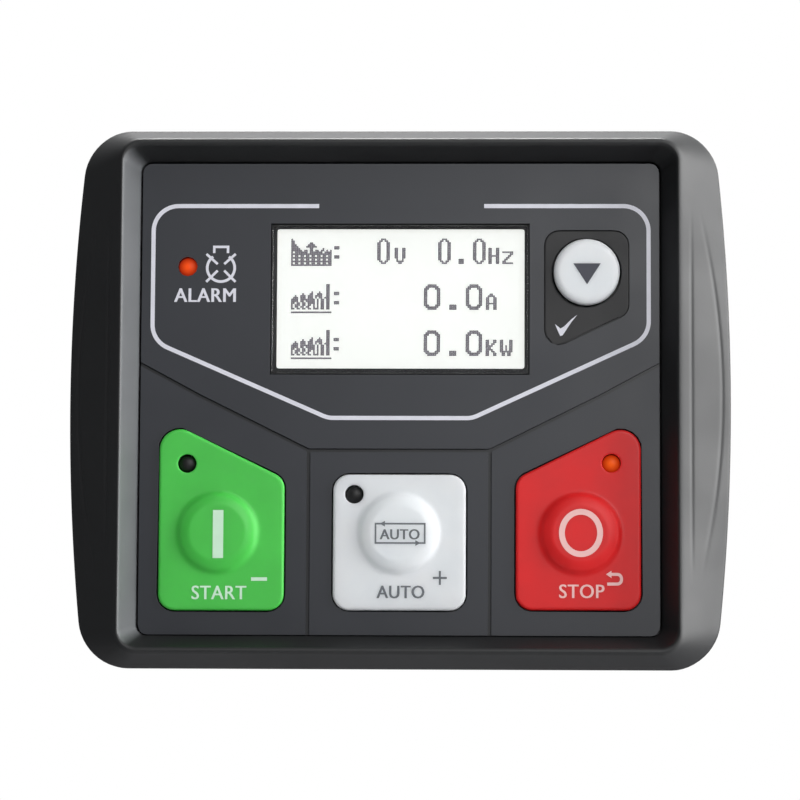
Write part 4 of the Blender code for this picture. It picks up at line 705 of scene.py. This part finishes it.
def face_print():
    """The white line round the display's field, the alarm sign with its word, and the tick."""
    right = [(14.0, 32.15), (41.4, 32.15), (41.4, 10.1), (12.1, -3.45), (-11.9, -3.45), (-41.3, 9.4)]
    path = rounded(right + [(-41.3, 32.15), (-13.6, 32.15)], 4.2, closed=False)
    line = stroke(path, 0.7)
    x, z, r = -29.95, 21.7, 2.3
    sign = [
        stroke([(x + a * 0.55, z + b * 0.55 + 0.1), (x + a * 2.45, z + b * 2.35)], 0.42)
        for a in (-1, 1)
        for b in (-1, 1)
    ]
    lug = stroke([(x - 1.15, z + 2.5), (x - 1.15, z + 3.55), (x + 1.15, z + 3.55), (x + 1.15, z + 2.5)], 0.42)
    turns = [math.radians(125 + 290 * step / 48) for step in range(49)]
    arc = [(x + r * math.cos(turn), z + r * math.sin(turn)) for turn in turns]
    tick = [
        (25.83, 12.35), (26.75, 11.6), (27.35, 11.95), (28.6, 13.2), (29.5, 13.85), (28.5, 12.6),
        (27.1, 10.45), (26.7, 10.35), (26.35, 11.1),
    ]
    marks(
        "face_print", FACE, ROOT, PALE_INK,
        outlines=[line, lug, stroke(arc, 0.46), *sign],
        words=[("ALARM", -37.75, -27.4, 15.97, 18.27, 0.08)],
    )
    marks("page_tick", -5.2 * MM, ROOT, PALE_INK, outlines=[tick[::-1]])


def key_prints():
    """The words on the pads and the signs on the keys. A sign moves with its key."""
    arrow = rounded([(34.6, -29.35), (36.8, -29.35), (36.8, -30.95), (34.45, -30.95)], 0.7, 6, closed=False)
    head = [(34.25, -29.35), (35.15, -28.75), (35.15, -29.95)]
    marks(
        "start_label", PAD, ROOT, MINT_INK,
        outlines=[rectangle(1.32, 0.29, -23.07, -30.31)],
        words=[("START", -34.25, -25.15, -33.7, -31.42, 0.05)],
    )
    marks(
        "auto_label", PAD, ROOT, GREY_INK,
        outlines=[rectangle(1.15, 0.17, 6.84, -30.03), rectangle(0.17, 1.15, 6.84, -30.03)],
        words=[("AUTO", -3.62, 4.30, -33.42, -31.32, 0.06)],
    )
    marks(
        "stop_label", PAD, ROOT, ROSE_INK,
        outlines=[stroke(arrow, 0.5), head],
        words=[("STOP", 26.52, 34.0, -33.30, -31.04, 0.05)],
    )
    marks("start_sign", KEY, "start_key", MINT_INK, outlines=[rectangle(0.87, 3.98, -29.86, -22.94)])
    ring_sign = (oval(30.11, -22.6, 3.63, 3.98), oval(30.11, -22.6, 2.67, 3.02))
    marks("stop_sign", KEY, "stop_key", ROSE_INK, rings=[ring_sign])
    frame_lines = (rectangle(4.2, 1.73, 0.27, -22.75), rectangle(3.93, 1.46, 0.27, -22.75))
    heads = [
        [(-3.1, -21.16), (-2.25, -20.7), (-2.25, -21.62)],
        [(2.79, -24.8), (2.79, -23.88), (3.64, -24.34)],
    ]
    marks(
        "auto_sign", KEY, "auto_key", GREY_INK, outlines=heads, rings=[frame_lines],
        words=[("AUTO", -3.10, 3.50, -23.75, -22.06, 0.06)],
    )
    marks("page_sign", KEY, "page_key", SLATE_INK, outlines=[[(31.13, 18.76), (33.4, 22.28), (28.86, 22.28)]])


# The dome's slope as (beyond its base radius, height), and the lamp's hole as (radius, depth), in mm
DOME_SLOPE = [
    (0.65, 0.0), (0.32, 0.0), (0.1, 0.03), (-0.12, 0.13), (-0.36, 0.34), (-0.6, 0.56), (-0.85, 0.72),
    (-1.1, 0.82), (-1.5, 0.94), (-1.85, 1.03), (-2.15, 1.08), (-2.5, 1.1),
]
LAMP_HOLE = [(1.9, 0.0), (1.68, 0.0), (1.58, 0.03), (1.54, 0.12), (1.54, 0.3), (1.7, 0.3), (1.7, 2.1)]


def soft_key(name, slot):
    """A silicone field with its key moulded in, which stays, and the key's stem, which rides the key."""
    x, z, radius = KEYS[name]
    lamp_x, lamp_z, _ = LAMPS[name]
    edge, margin = 0.42 * MM, 0.25 * MM
    bm = bmesh.new()
    turns = [math.radians(90 * step / 4) for step in range(5)]
    rim = [(0.0, FACE_BACK)] + [(edge * (1 - math.cos(t)), PAD + edge * (1 - math.sin(t))) for t in turns]
    rim.append((edge + margin, PAD))  # the flat margins keep the flat part's shading flat
    outer = [row_of(bm, pad_outline(name, by), y) for by, y in rim]
    inner = [row_of(bm, circle(x, z, radius + by * MM, 72), PAD - up * MM) for by, up in DOME_SLOPE]
    hole = [row_of(bm, circle(lamp_x, lamp_z, r * MM, 32), PAD + down * MM) for r, down in LAMP_HOLE]
    for rows in (outer, inner, hole):
        join_rows(bm, rows)
    bm.faces.new(inner[-1])
    for loops in ((outer[-1], inner[0], hole[0]), (outer[0], hole[-1])):
        pairs = [pair for loop in loops for pair in zip(loop[-1:] + loop[:-1], loop)]
        edges = [bm.edges.get(pair) or bm.edges.new(pair) for pair in pairs]
        bmesh.ops.triangle_fill(bm, use_beauty=True, use_dissolve=False, edges=edges)
    skin = piece(
        f"{name}_key_skin", closed_mesh(bm, name), NODE_FINISH[slot], body=None,
        stands_for=(f"{name}_pad", f"{name}_button"), sharp=50,
    )
    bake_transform(skin)
    stem = [(0, -3.85), (5.9, -3.85), (6.0, -3.75), (6.0, -1.3), (7.0, -1.3), (7.0, -0.1), (3.4, -0.1)]
    stem += [(3.4, 1.1), (2.8, 1.1), (2.8, 0.6), (0, 0.6)]
    mesh = turned(x, z, in_mm(*stem))
    piece(f"{name}_key_stem", mesh, NODE_FINISH[slot], f"{name}_key")


def page_key():
    """The white round key, which sinks whole into its field."""
    x, z, _ = PAGE_KEY
    profile = [(0, -7.1), (4.3, -7.1), (4.7, -7.07), (5.0, -6.98), (5.25, -6.8), (5.42, -6.55), (5.5, -6.2)]
    profile += [(5.5, -4.8), (4.65, -4.8), (4.65, -1.3), (5.65, -1.3), (5.65, -0.1), (3.4, -0.1), (3.4, 1.1)]
    profile += [(2.8, 1.1), (2.8, 0.6), (0, 0.6)]
    mesh = turned(x, z, in_mm(*profile), 72)
    piece("page_key_cap", mesh, WHITE_SILICONE, "page_key", ("page_button",))


def lamps():
    """Round lamps with a low dome, a collar and two legs."""
    for name, (x, z, surface) in LAMPS.items():
        front = surface + 0.4 * MM
        turns = [math.radians(90 * step / 8) for step in range(9)]
        radius = (1.55 if surface == FACE else 1.45) * MM
        dome = [(math.sin(t) * radius, front + (1 - math.cos(t)) * 0.8 * MM) for t in turns]
        collar = [(radius / MM, 0.5), (1.9, 0.5), (1.9, 1.3), (0, 1.3)]
        body = turned(x, z, [(0.0, front)] + dome[1:] + in_mm(*collar), 32)
        legs = []
        for side in (-1.27, 1.27):
            low = (x + (side - 0.25) * MM, 0.9 * MM, z - 0.25 * MM)
            legs.append((low, (x + (side + 0.25) * MM, 2.3 * MM, z + 0.25 * MM)))
        lens = {"alarm": LIT_LENS, "stop": DIM_LENS}.get(name, DARK_LENS)
        piece(f"{name}_lamp", gathered(body, boxes(legs)), lens, ROOT, (f"{name}_led",))


NARROW_ZERO = ["..###..", ".##.##."] + ["##...##"] * 10 + [".##.##.", "..###.."]
BROAD_ZERO = ["..#####..", ".#######.", "###...###"] + ["##.....##"] * 8
BROAD_ZERO += ["###...###", ".#######.", "..#####.."]
POINT = ["###"] * 3
BROAD_POINT = ["####"] * 3
LETTER_V = ["##..##"] * 6 + [".#..#.", ".####.", "..##.."]
LETTER_H = ["##..##"] * 4 + ["######"] + ["##..##"] * 4
LETTER_Z = ["######", "....##", "...##.", "..##..", ".##...", "##....", "######"]
LETTER_A = ["..##..", ".####.", "##..##", "##..##", "##..##", "######", "##..##", "##..##", "##..##"]
LETTER_K = ["##..##", "##..##", "##.##.", "####..", "###...", "####..", "##.##.", "##..##", "##..##"]
LETTER_W = ["##...##"] * 3 + ["##.#.##"] * 3 + ["#######"] + [".##.##."] * 2
COLON = ["###", "###", "...", "...", "...", "###", "###"]
POWER_SIGN = """
#.....................
##....................
##........##..........
###......####.........
####....######........
#####.....##.....#....
######.##.##.##.##.#.#
#.#######.#######.####
""".split() + ["#" * 22, "#.##.##.##.##.##.##.##"] * 3 + ["#" * 22]
LOAD_SIGN = ["...................##."] * 4 + """
...........#...#...##.
......#...##..###..##.
..#..###.###.####..##.
.###.###.###.#.##.###.
####.########.#.##.##.
####.##.#####.#.##.##.
##.##.##.####.#.##.##.
#.###.##.##.#.#.##.##.
#.##.##.##..#.#.##.##.
##.##.##.##.###.##.##.
......................
######################
""".split()
DOT_PITCH = 0.31 * MM


def glyph_dots(pattern, left, bottom):
    """The middles of a pattern's dots, from its lower left corner in mm."""
    front = CELL - 0.012 * MM
    return [
        (left * MM + (along + 0.5) * DOT_PITCH, front, bottom * MM + (up + 0.5) * DOT_PITCH)
        for up, row in enumerate(reversed(pattern))
        for along, mark in enumerate(row)
        if mark == "#"
    ]


def tree_with(name, kinds):
    """A Geometry Nodes tree with points, sizes of those kinds and a finish as its named inputs."""
    tree = bpy.data.node_groups.new(name, "GeometryNodeTree")
    for socket, kind in {"Geometry": "Geometry", **kinds, "Finish": "Material"}.items():
        tree.interface.new_socket(socket, in_out="INPUT", socket_type="NodeSocket" + kind)
    tree.interface.new_socket("Geometry", in_out="OUTPUT", socket_type="NodeSocketGeometry")
    return tree, put(tree, "NodeGroupInput").outputs


def one_on_each_point(tree, given, placed):
    """Ends a tree: a shape on each point, all made one mesh in its finish."""
    spread = put(tree, "InstanceOnPoints", {"Points": given["Geometry"], **placed})
    solid = put(tree, "RealizeInstances", {"Geometry": spread.outputs["Instances"]})
    done = put(tree, "SetMaterial", {"Geometry": solid.outputs["Geometry"], "Material": given["Finish"]})
    put(tree, "NodeGroupOutput", {"Geometry": done.outputs["Geometry"]})
    return tree


def dot_tree():
    """Geometry Nodes that put a square dot on each point."""
    tree, given = tree_with("display_dots", {"Dot Size": "Vector"})
    dot = put(tree, "MeshCube", {"Size": given["Dot Size"]}).outputs["Mesh"]
    return one_on_each_point(tree, given, {"Instance": dot})


def grown_from(tree, points, values):
    """The mesh that a tree makes from points, with its inputs set by identifier."""
    mesh = bpy.data.meshes.new("points")
    mesh.from_pydata(points, [], [])
    obj = linked("points", mesh)
    nodes = obj.modifiers.new("nodes", "NODES")
    nodes.node_group = tree
    for item in tree.interface.items_tree:
        if item.in_out == "INPUT" and item.name in values:
            nodes[item.identifier] = values[item.name]
    return plain_mesh(obj)


def display():
    """The lit cell, and its readings drawn in dots behind the glass."""
    redrawn("display_cell", "lcd_cell", 0.1, "display_glass")
    opening = in_mm((-20.6, 4.95), (20.75, 4.95), (20.75, 28.4), (-20.6, 28.4))
    mask = [rectangle(21.25 * MM, 12.35 * MM, 0, WINDOW_MIDDLE), rounded(opening, 0.4 * MM)]
    joint = FACE_BACK + 0.02 * MM
    rim = [rectangle(x * MM, z * MM, 0, WINDOW_MIDDLE) for x, z in ((21.45, 12.55), (21.32, 12.42))]
    paint = gathered(slab(mask, joint, FACE_BACK + 0.08 * MM), slab(rim, -5.15 * MM, joint))
    piece("window_mask", paint, MASK_INK)
    dots = glyph_dots(POWER_SIGN, -18.38, 22.38)
    dots += glyph_dots(LOAD_SIGN, -18.35, 14.4) + glyph_dots(LOAD_SIGN, -18.3, 6.65)
    for row, glyphs in {
        22.72: (
            (NARROW_ZERO, -3.95), (LETTER_V, -1.03), (NARROW_ZERO, 6.26), (POINT, 9.68), (NARROW_ZERO, 12.1),
            (LETTER_H, 14.68), (LETTER_Z, 17.02),
        ),
        14.98: ((BROAD_ZERO, 3.9), (BROAD_POINT, 8.16), (BROAD_ZERO, 10.92), (LETTER_A, 14.27)),
        7.21: (
            (BROAD_ZERO, 3.9), (BROAD_POINT, 8.16), (BROAD_ZERO, 10.92), (LETTER_K, 14.25), (LETTER_W, 16.62),
        ),
    }.items():
        for pattern, left in glyphs:
            dots += glyph_dots(pattern, left, row)
        dots += glyph_dots(COLON, -11.18, row + 0.9)
    size = (0.30 * MM, 0.02 * MM, 0.30 * MM)
    mesh = grown_from(dot_tree(), dots, {"Dot Size": size, "Finish": SEGMENT})
    piece("display_readings", mesh, SEGMENT)


# Rows of terminals as (name, ways, middle x, z, which way its screws face), in mm
PITCH = 5.08
UPPER_ROW = ("upper", 8, -10.16, 24.0, 1)
LOWER_ROW = ("lower", 12, 0.0, -24.0, -1)


def ways(count, middle):
    """Where the ways of a row of terminals lie along X, in mm."""
    return [middle + (i - (count - 1) / 2) * PITCH for i in range(count)]


def clamp_tree():
    """Geometry Nodes that put a slotted screw head, turned by chance, on each clamp point."""
    kinds = {"Radius": "Float", "Height": "Float", "Seed": "Int"}
    kinds |= {"Slot Size": "Vector", "Slot Place": "Vector"}
    tree, given = tree_with("clamp_screws", kinds)
    size = {"Vertices": 28, "Radius": given["Radius"], "Depth": given["Height"]}
    head = put(tree, "MeshCylinder", size).outputs["Mesh"]
    block = put(tree, "MeshCube", {"Size": given["Slot Size"]}).outputs["Mesh"]
    block = put(tree, "Transform", {"Geometry": block, "Translation": given["Slot Place"]})
    cut = {"Mesh 1": head, "Mesh 2": block.outputs["Geometry"]}
    slotted = put(tree, "MeshBoolean", cut, operation="DIFFERENCE").outputs["Mesh"]
    span = {2: 0.0, 3: math.pi, "Seed": given["Seed"]}
    chance = put(tree, "FunctionNodeRandomValue", span, data_type="FLOAT")
    turn = put(tree, "ShaderNodeCombineXYZ", {"Z": chance.outputs[1]}).outputs["Vector"]
    return one_on_each_point(tree, given, {"Instance": slotted, "Rotation": turn})


def wire_plugs():
    """The two plug-in terminals with their clamp screws and the metal cages in their wire entries."""
    tree = clamp_tree()
    for seed, (row, count, middle, z, outward) in enumerate((UPPER_ROW, LOWER_ROW)):
        body = f"{row}_plug"
        redrawn(f"{row}_wire_plug", f"{row}_terminal_plug", 0.2, "terminal_green", body)
        redrawn(f"{row}_pin_header", f"{row}_terminal_socket", 0.1, "terminal_green")
        places = [(x * MM, 39.4 * MM, (z + outward * 4.47) * MM) for x in ways(count, middle)]
        mesh = grown_from(
            tree, places,
            {
                "Radius": 1.5 * MM, "Height": 0.9 * MM, "Slot Size": (3.2 * MM, 0.5 * MM, 0.9 * MM),
                "Slot Place": (0, 0, outward * 0.5 * MM), "Seed": seed + 4, "Finish": ZINC,
            },
        )
        piece(f"{row}_clamp_screws", tidied(mesh), ZINC, body)
        cages = []
        for x in ways(count, middle):
            place = (x * MM, (z - outward) * MM)
            walls = [rectangle(1.62 * MM, 1.52 * MM, *place), rectangle(1.27 * MM, 1.17 * MM, *place)]
            cages.append(slab(walls, 40.2 * MM, 44.5 * MM))
        piece(f"{row}_wire_cages", gathered(*cages), ZINC, body)


def jack_screws():
    """The clamping screws, with a cut thread and a domed head with a cross recess. Sizes are in mm."""
    steps, pitch, tip, neck = 24, 0.7, 3.0, 33.6
    rings_per_turn = 6
    root_radius, thread_height, tip_length, tip_taper = 1.5, 0.4, 0.6, 0.3
    head = [(1.9, 33.9), (3.3, 34.0), (3.5, 34.2), (3.5, 35.5), (3.25, 36.0), (2.7, 36.3), (1.9, 36.4)]
    for name, side in (("left", -1), ("right", 1)):
        x = side * 51.0 * MM
        bm = bmesh.new()
        rows = [row_of(bm, [(x, 0)], tip * MM)]
        for i in range(int((neck - tip) * rings_per_turn / pitch) + 1):
            height = tip + i * pitch / rings_per_turn
            outline = []
            for step in range(steps):
                turn = 2 * math.pi * step / steps
                phase = (height / pitch - step / steps) % 1
                thread = thread_height * min(1.0, 2.4 * min(phase, 1 - phase))
                radius = (root_radius + thread - tip_taper * max(0.0, tip_length - (height - tip))) * MM
                outline.append((x + radius * math.cos(turn), radius * math.sin(turn)))
            rows.append(row_of(bm, outline, height * MM))
        rows += [row_of(bm, circle(x, 0, radius * MM, steps), y * MM) for radius, y in head]
        rows.append(row_of(bm, [(x, 0)], head[-1][1] * MM))
        join_rows(bm, rows)
        arms = []
        for across, along in ((1.9, 0.36), (0.36, 1.9)):
            low = (x - across * MM, 35.1 * MM, -along * MM)
            arms.append(boxes([(low, (x + across * MM, 37 * MM, along * MM))]))
        mesh = solved(closed_mesh(bm, "screw"), cutters=arms)
        node = f"{name}_jack_screw"
        piece(f"{name}_clamp_screw", mesh, ZINC, f"{name}_jack", (node,), sharp=40)


def way_numbers():
    """The plain numbers of the terminals, printed on the back of the case."""
    meshes = []
    back, tall, from_row = 34.0 * MM, 1.5, 7.4
    for first, (_, count, middle, z, outward) in ((1, LOWER_ROW), (13, UPPER_ROW)):
        foot = z - outward * from_row - tall / 2
        for i, x in enumerate(reversed(ways(count, middle))):
            mesh = word(str(first + i), -x, -x, foot, foot + tall, 0.03, -back - INK, -back + INK)
            mesh.transform(Matrix.Rotation(math.pi, 4, "Z"))
            meshes.append(mesh)
    piece("way_numbers", gathered(*meshes), PALE_INK)


def behind():
    """The case, seal, sockets, screws and clips behind the panel."""
    redrawn("rear_housing", "rear_case", 0.30, "black_abs")
    redrawn("foam_seal", "panel_gasket", 0.15, "gasket_rubber")
    redrawn("usb_shell", "usb_socket", 0.08, "plated_steel")
    for i in range(1, 5):
        redrawn(f"case_bolt_{i}", f"case_screw_{i}", 0.10, "plated_steel")
    wire_plugs()
    jack_screws()
    way_numbers()
    for side in ("left", "right"):
        redrawn(f"{side}_panel_clip", f"{side}_fixing_clip", 0.25, "clip_nylon")


NODE_FINISH = dict(
    black_abs=CASE_ABS, dark_grey_face=FACE_FILM, green_silicone=GREEN_SILICONE, red_silicone=RED_SILICONE,
    white_silicone=WHITE_SILICONE, dark_silicone=DARK_SILICONE, carbon_rubber=CARBON, gasket_rubber=FOAM,
    clear_polycarbonate=CLEAR, display_glass=LIT_GLASS, white_plastic=WHITE_GUIDE, orange_lamp=LIT_LENS,
    unlit_lamp=DARK_LENS, board_laminate=LAMINATE, chip_black=CHIP_EPOXY, relay_blue=RELAY_PBT,
    can_aluminium=CAN, plated_steel=ZINC, terminal_green=PLUG_PA, clip_nylon=CLIP_PA,
)


def dress_nodes():
    """Gives every CAD node the finish that its slot stands for."""
    for node in NODES.values():
        for slot in node.material_slots:
            slot.material = NODE_FINISH[slot.material.name.split(".")[0]]


def camera():
    """The photo's view, fitted to the front's edges: a long lens a little below and to the right."""
    azimuth, elevation, roll = (math.radians(angle) for angle in (1.806, -6.029, 0.287))
    level = math.cos(elevation)
    back = Vector((math.sin(azimuth) * level, -math.cos(azimuth) * level, math.sin(elevation)))
    right = (-back).cross(Vector((0, 0, 1))).normalized()
    up = right.cross(-back)
    right, up = right * math.cos(roll) + up * math.sin(roll), up * math.cos(roll) - right * math.sin(roll)
    data = bpy.data.cameras.new("camera")
    data.sensor_width = 36
    data.lens = 162.43
    data.shift_x, data.shift_y = 0.0007, -0.0033
    data.clip_start, data.clip_end = 0.01, 20
    eye = linked("camera", data)
    turn = Matrix((right, up, back)).transposed().to_4x4()
    eye.matrix_world = Matrix.Translation(Vector((0, FACE, 0)) + back * 0.6) @ turn
    bpy.context.scene.camera = eye


def softbox(name, place, width, height, watts, spread=180, aim=(0, 0, 0)):
    """A rectangular studio lamp, which shines from its place towards what it is aimed at."""
    data = bpy.data.lights.new(name, "AREA")
    data.shape = "RECTANGLE"
    data.size, data.size_y = width, height
    data.energy = watts
    data.spread = math.radians(spread)
    lamp = linked(name, data)
    lamp.location = place
    lamp.rotation_euler = (Vector(aim) - Vector(place)).to_track_quat("-Z", "Y").to_euler()


def studio():
    """A pale floor under the object, a bright backdrop and soft boxes, the main one at the right."""
    mesh = slab([rounded(rectangle(1.6, 1.6), 0.3)], 0, 0.01)
    mesh.transform(Matrix.Translation((0, 0, -0.35)) @ Matrix.Rotation(math.pi / 2, 4, "X"))
    floor = linked("floor", tidied(mesh))
    paint = finish("painted_floor", "a8a8aa", 0.75, grain=3, depth=0.02, patch=120, mottle=0.02)
    shader = paint.node_tree.nodes["Principled BSDF"]
    seen = put(paint.node_tree, "LightPath").outputs["Is Camera Ray"]
    level = put(paint.node_tree, "Math", {0: seen, 1: 0.88}, operation="MULTIPLY").outputs[0]
    shader.inputs["Emission Color"].default_value = linear("ffffff")
    paint.node_tree.links.new(level, shader.inputs["Emission Strength"])
    mesh.materials.append(paint)
    world = bpy.data.worlds.new("studio")
    world.use_nodes = True
    bpy.context.scene.world = world
    tree = world.node_tree
    tree.nodes.clear()
    seen = put(tree, "Background", {"Color": linear("ffffff"), "Strength": 1.0})
    fill = put(tree, "Background", {"Color": linear("f4f6fa"), "Strength": 0.17})
    path = put(tree, "LightPath").outputs["Is Camera Ray"]
    both = put(tree, "MixShader", {0: path, 1: fill.outputs[0], 2: seen.outputs[0]})
    put(tree, "OutputWorld", {"Surface": both.outputs[0]})
    softbox("right_box", (0.62, -0.05, 0.12), 0.45, 0.70, 8.6)
    softbox("front_box", (0.26, -0.76, 0.24), 0.35, 0.35, 3.0)
    softbox("top_box", (-0.03, 0.14, 0.52), 0.26, 0.14, 0.42, 50)
    softbox("high_box", (0.15, -0.40, 0.62), 0.40, 0.20, 0.3)
    softbox("rear_box", (0.45, 0.75, 0.35), 0.5, 0.5, 0.8, 70, (0, 0.02, 0))
    bpy.context.scene.view_settings.view_transform = "Standard"


def main():
    camera()
    dress_nodes()
    front_frame()
    face()
    face_print()
    for name, colour in (("start", "green"), ("auto", "white"), ("stop", "red")):
        soft_key(name, f"{colour}_silicone")
    page_key()
    key_prints()
    lamps()
    display()
    behind()
    studio()


main()
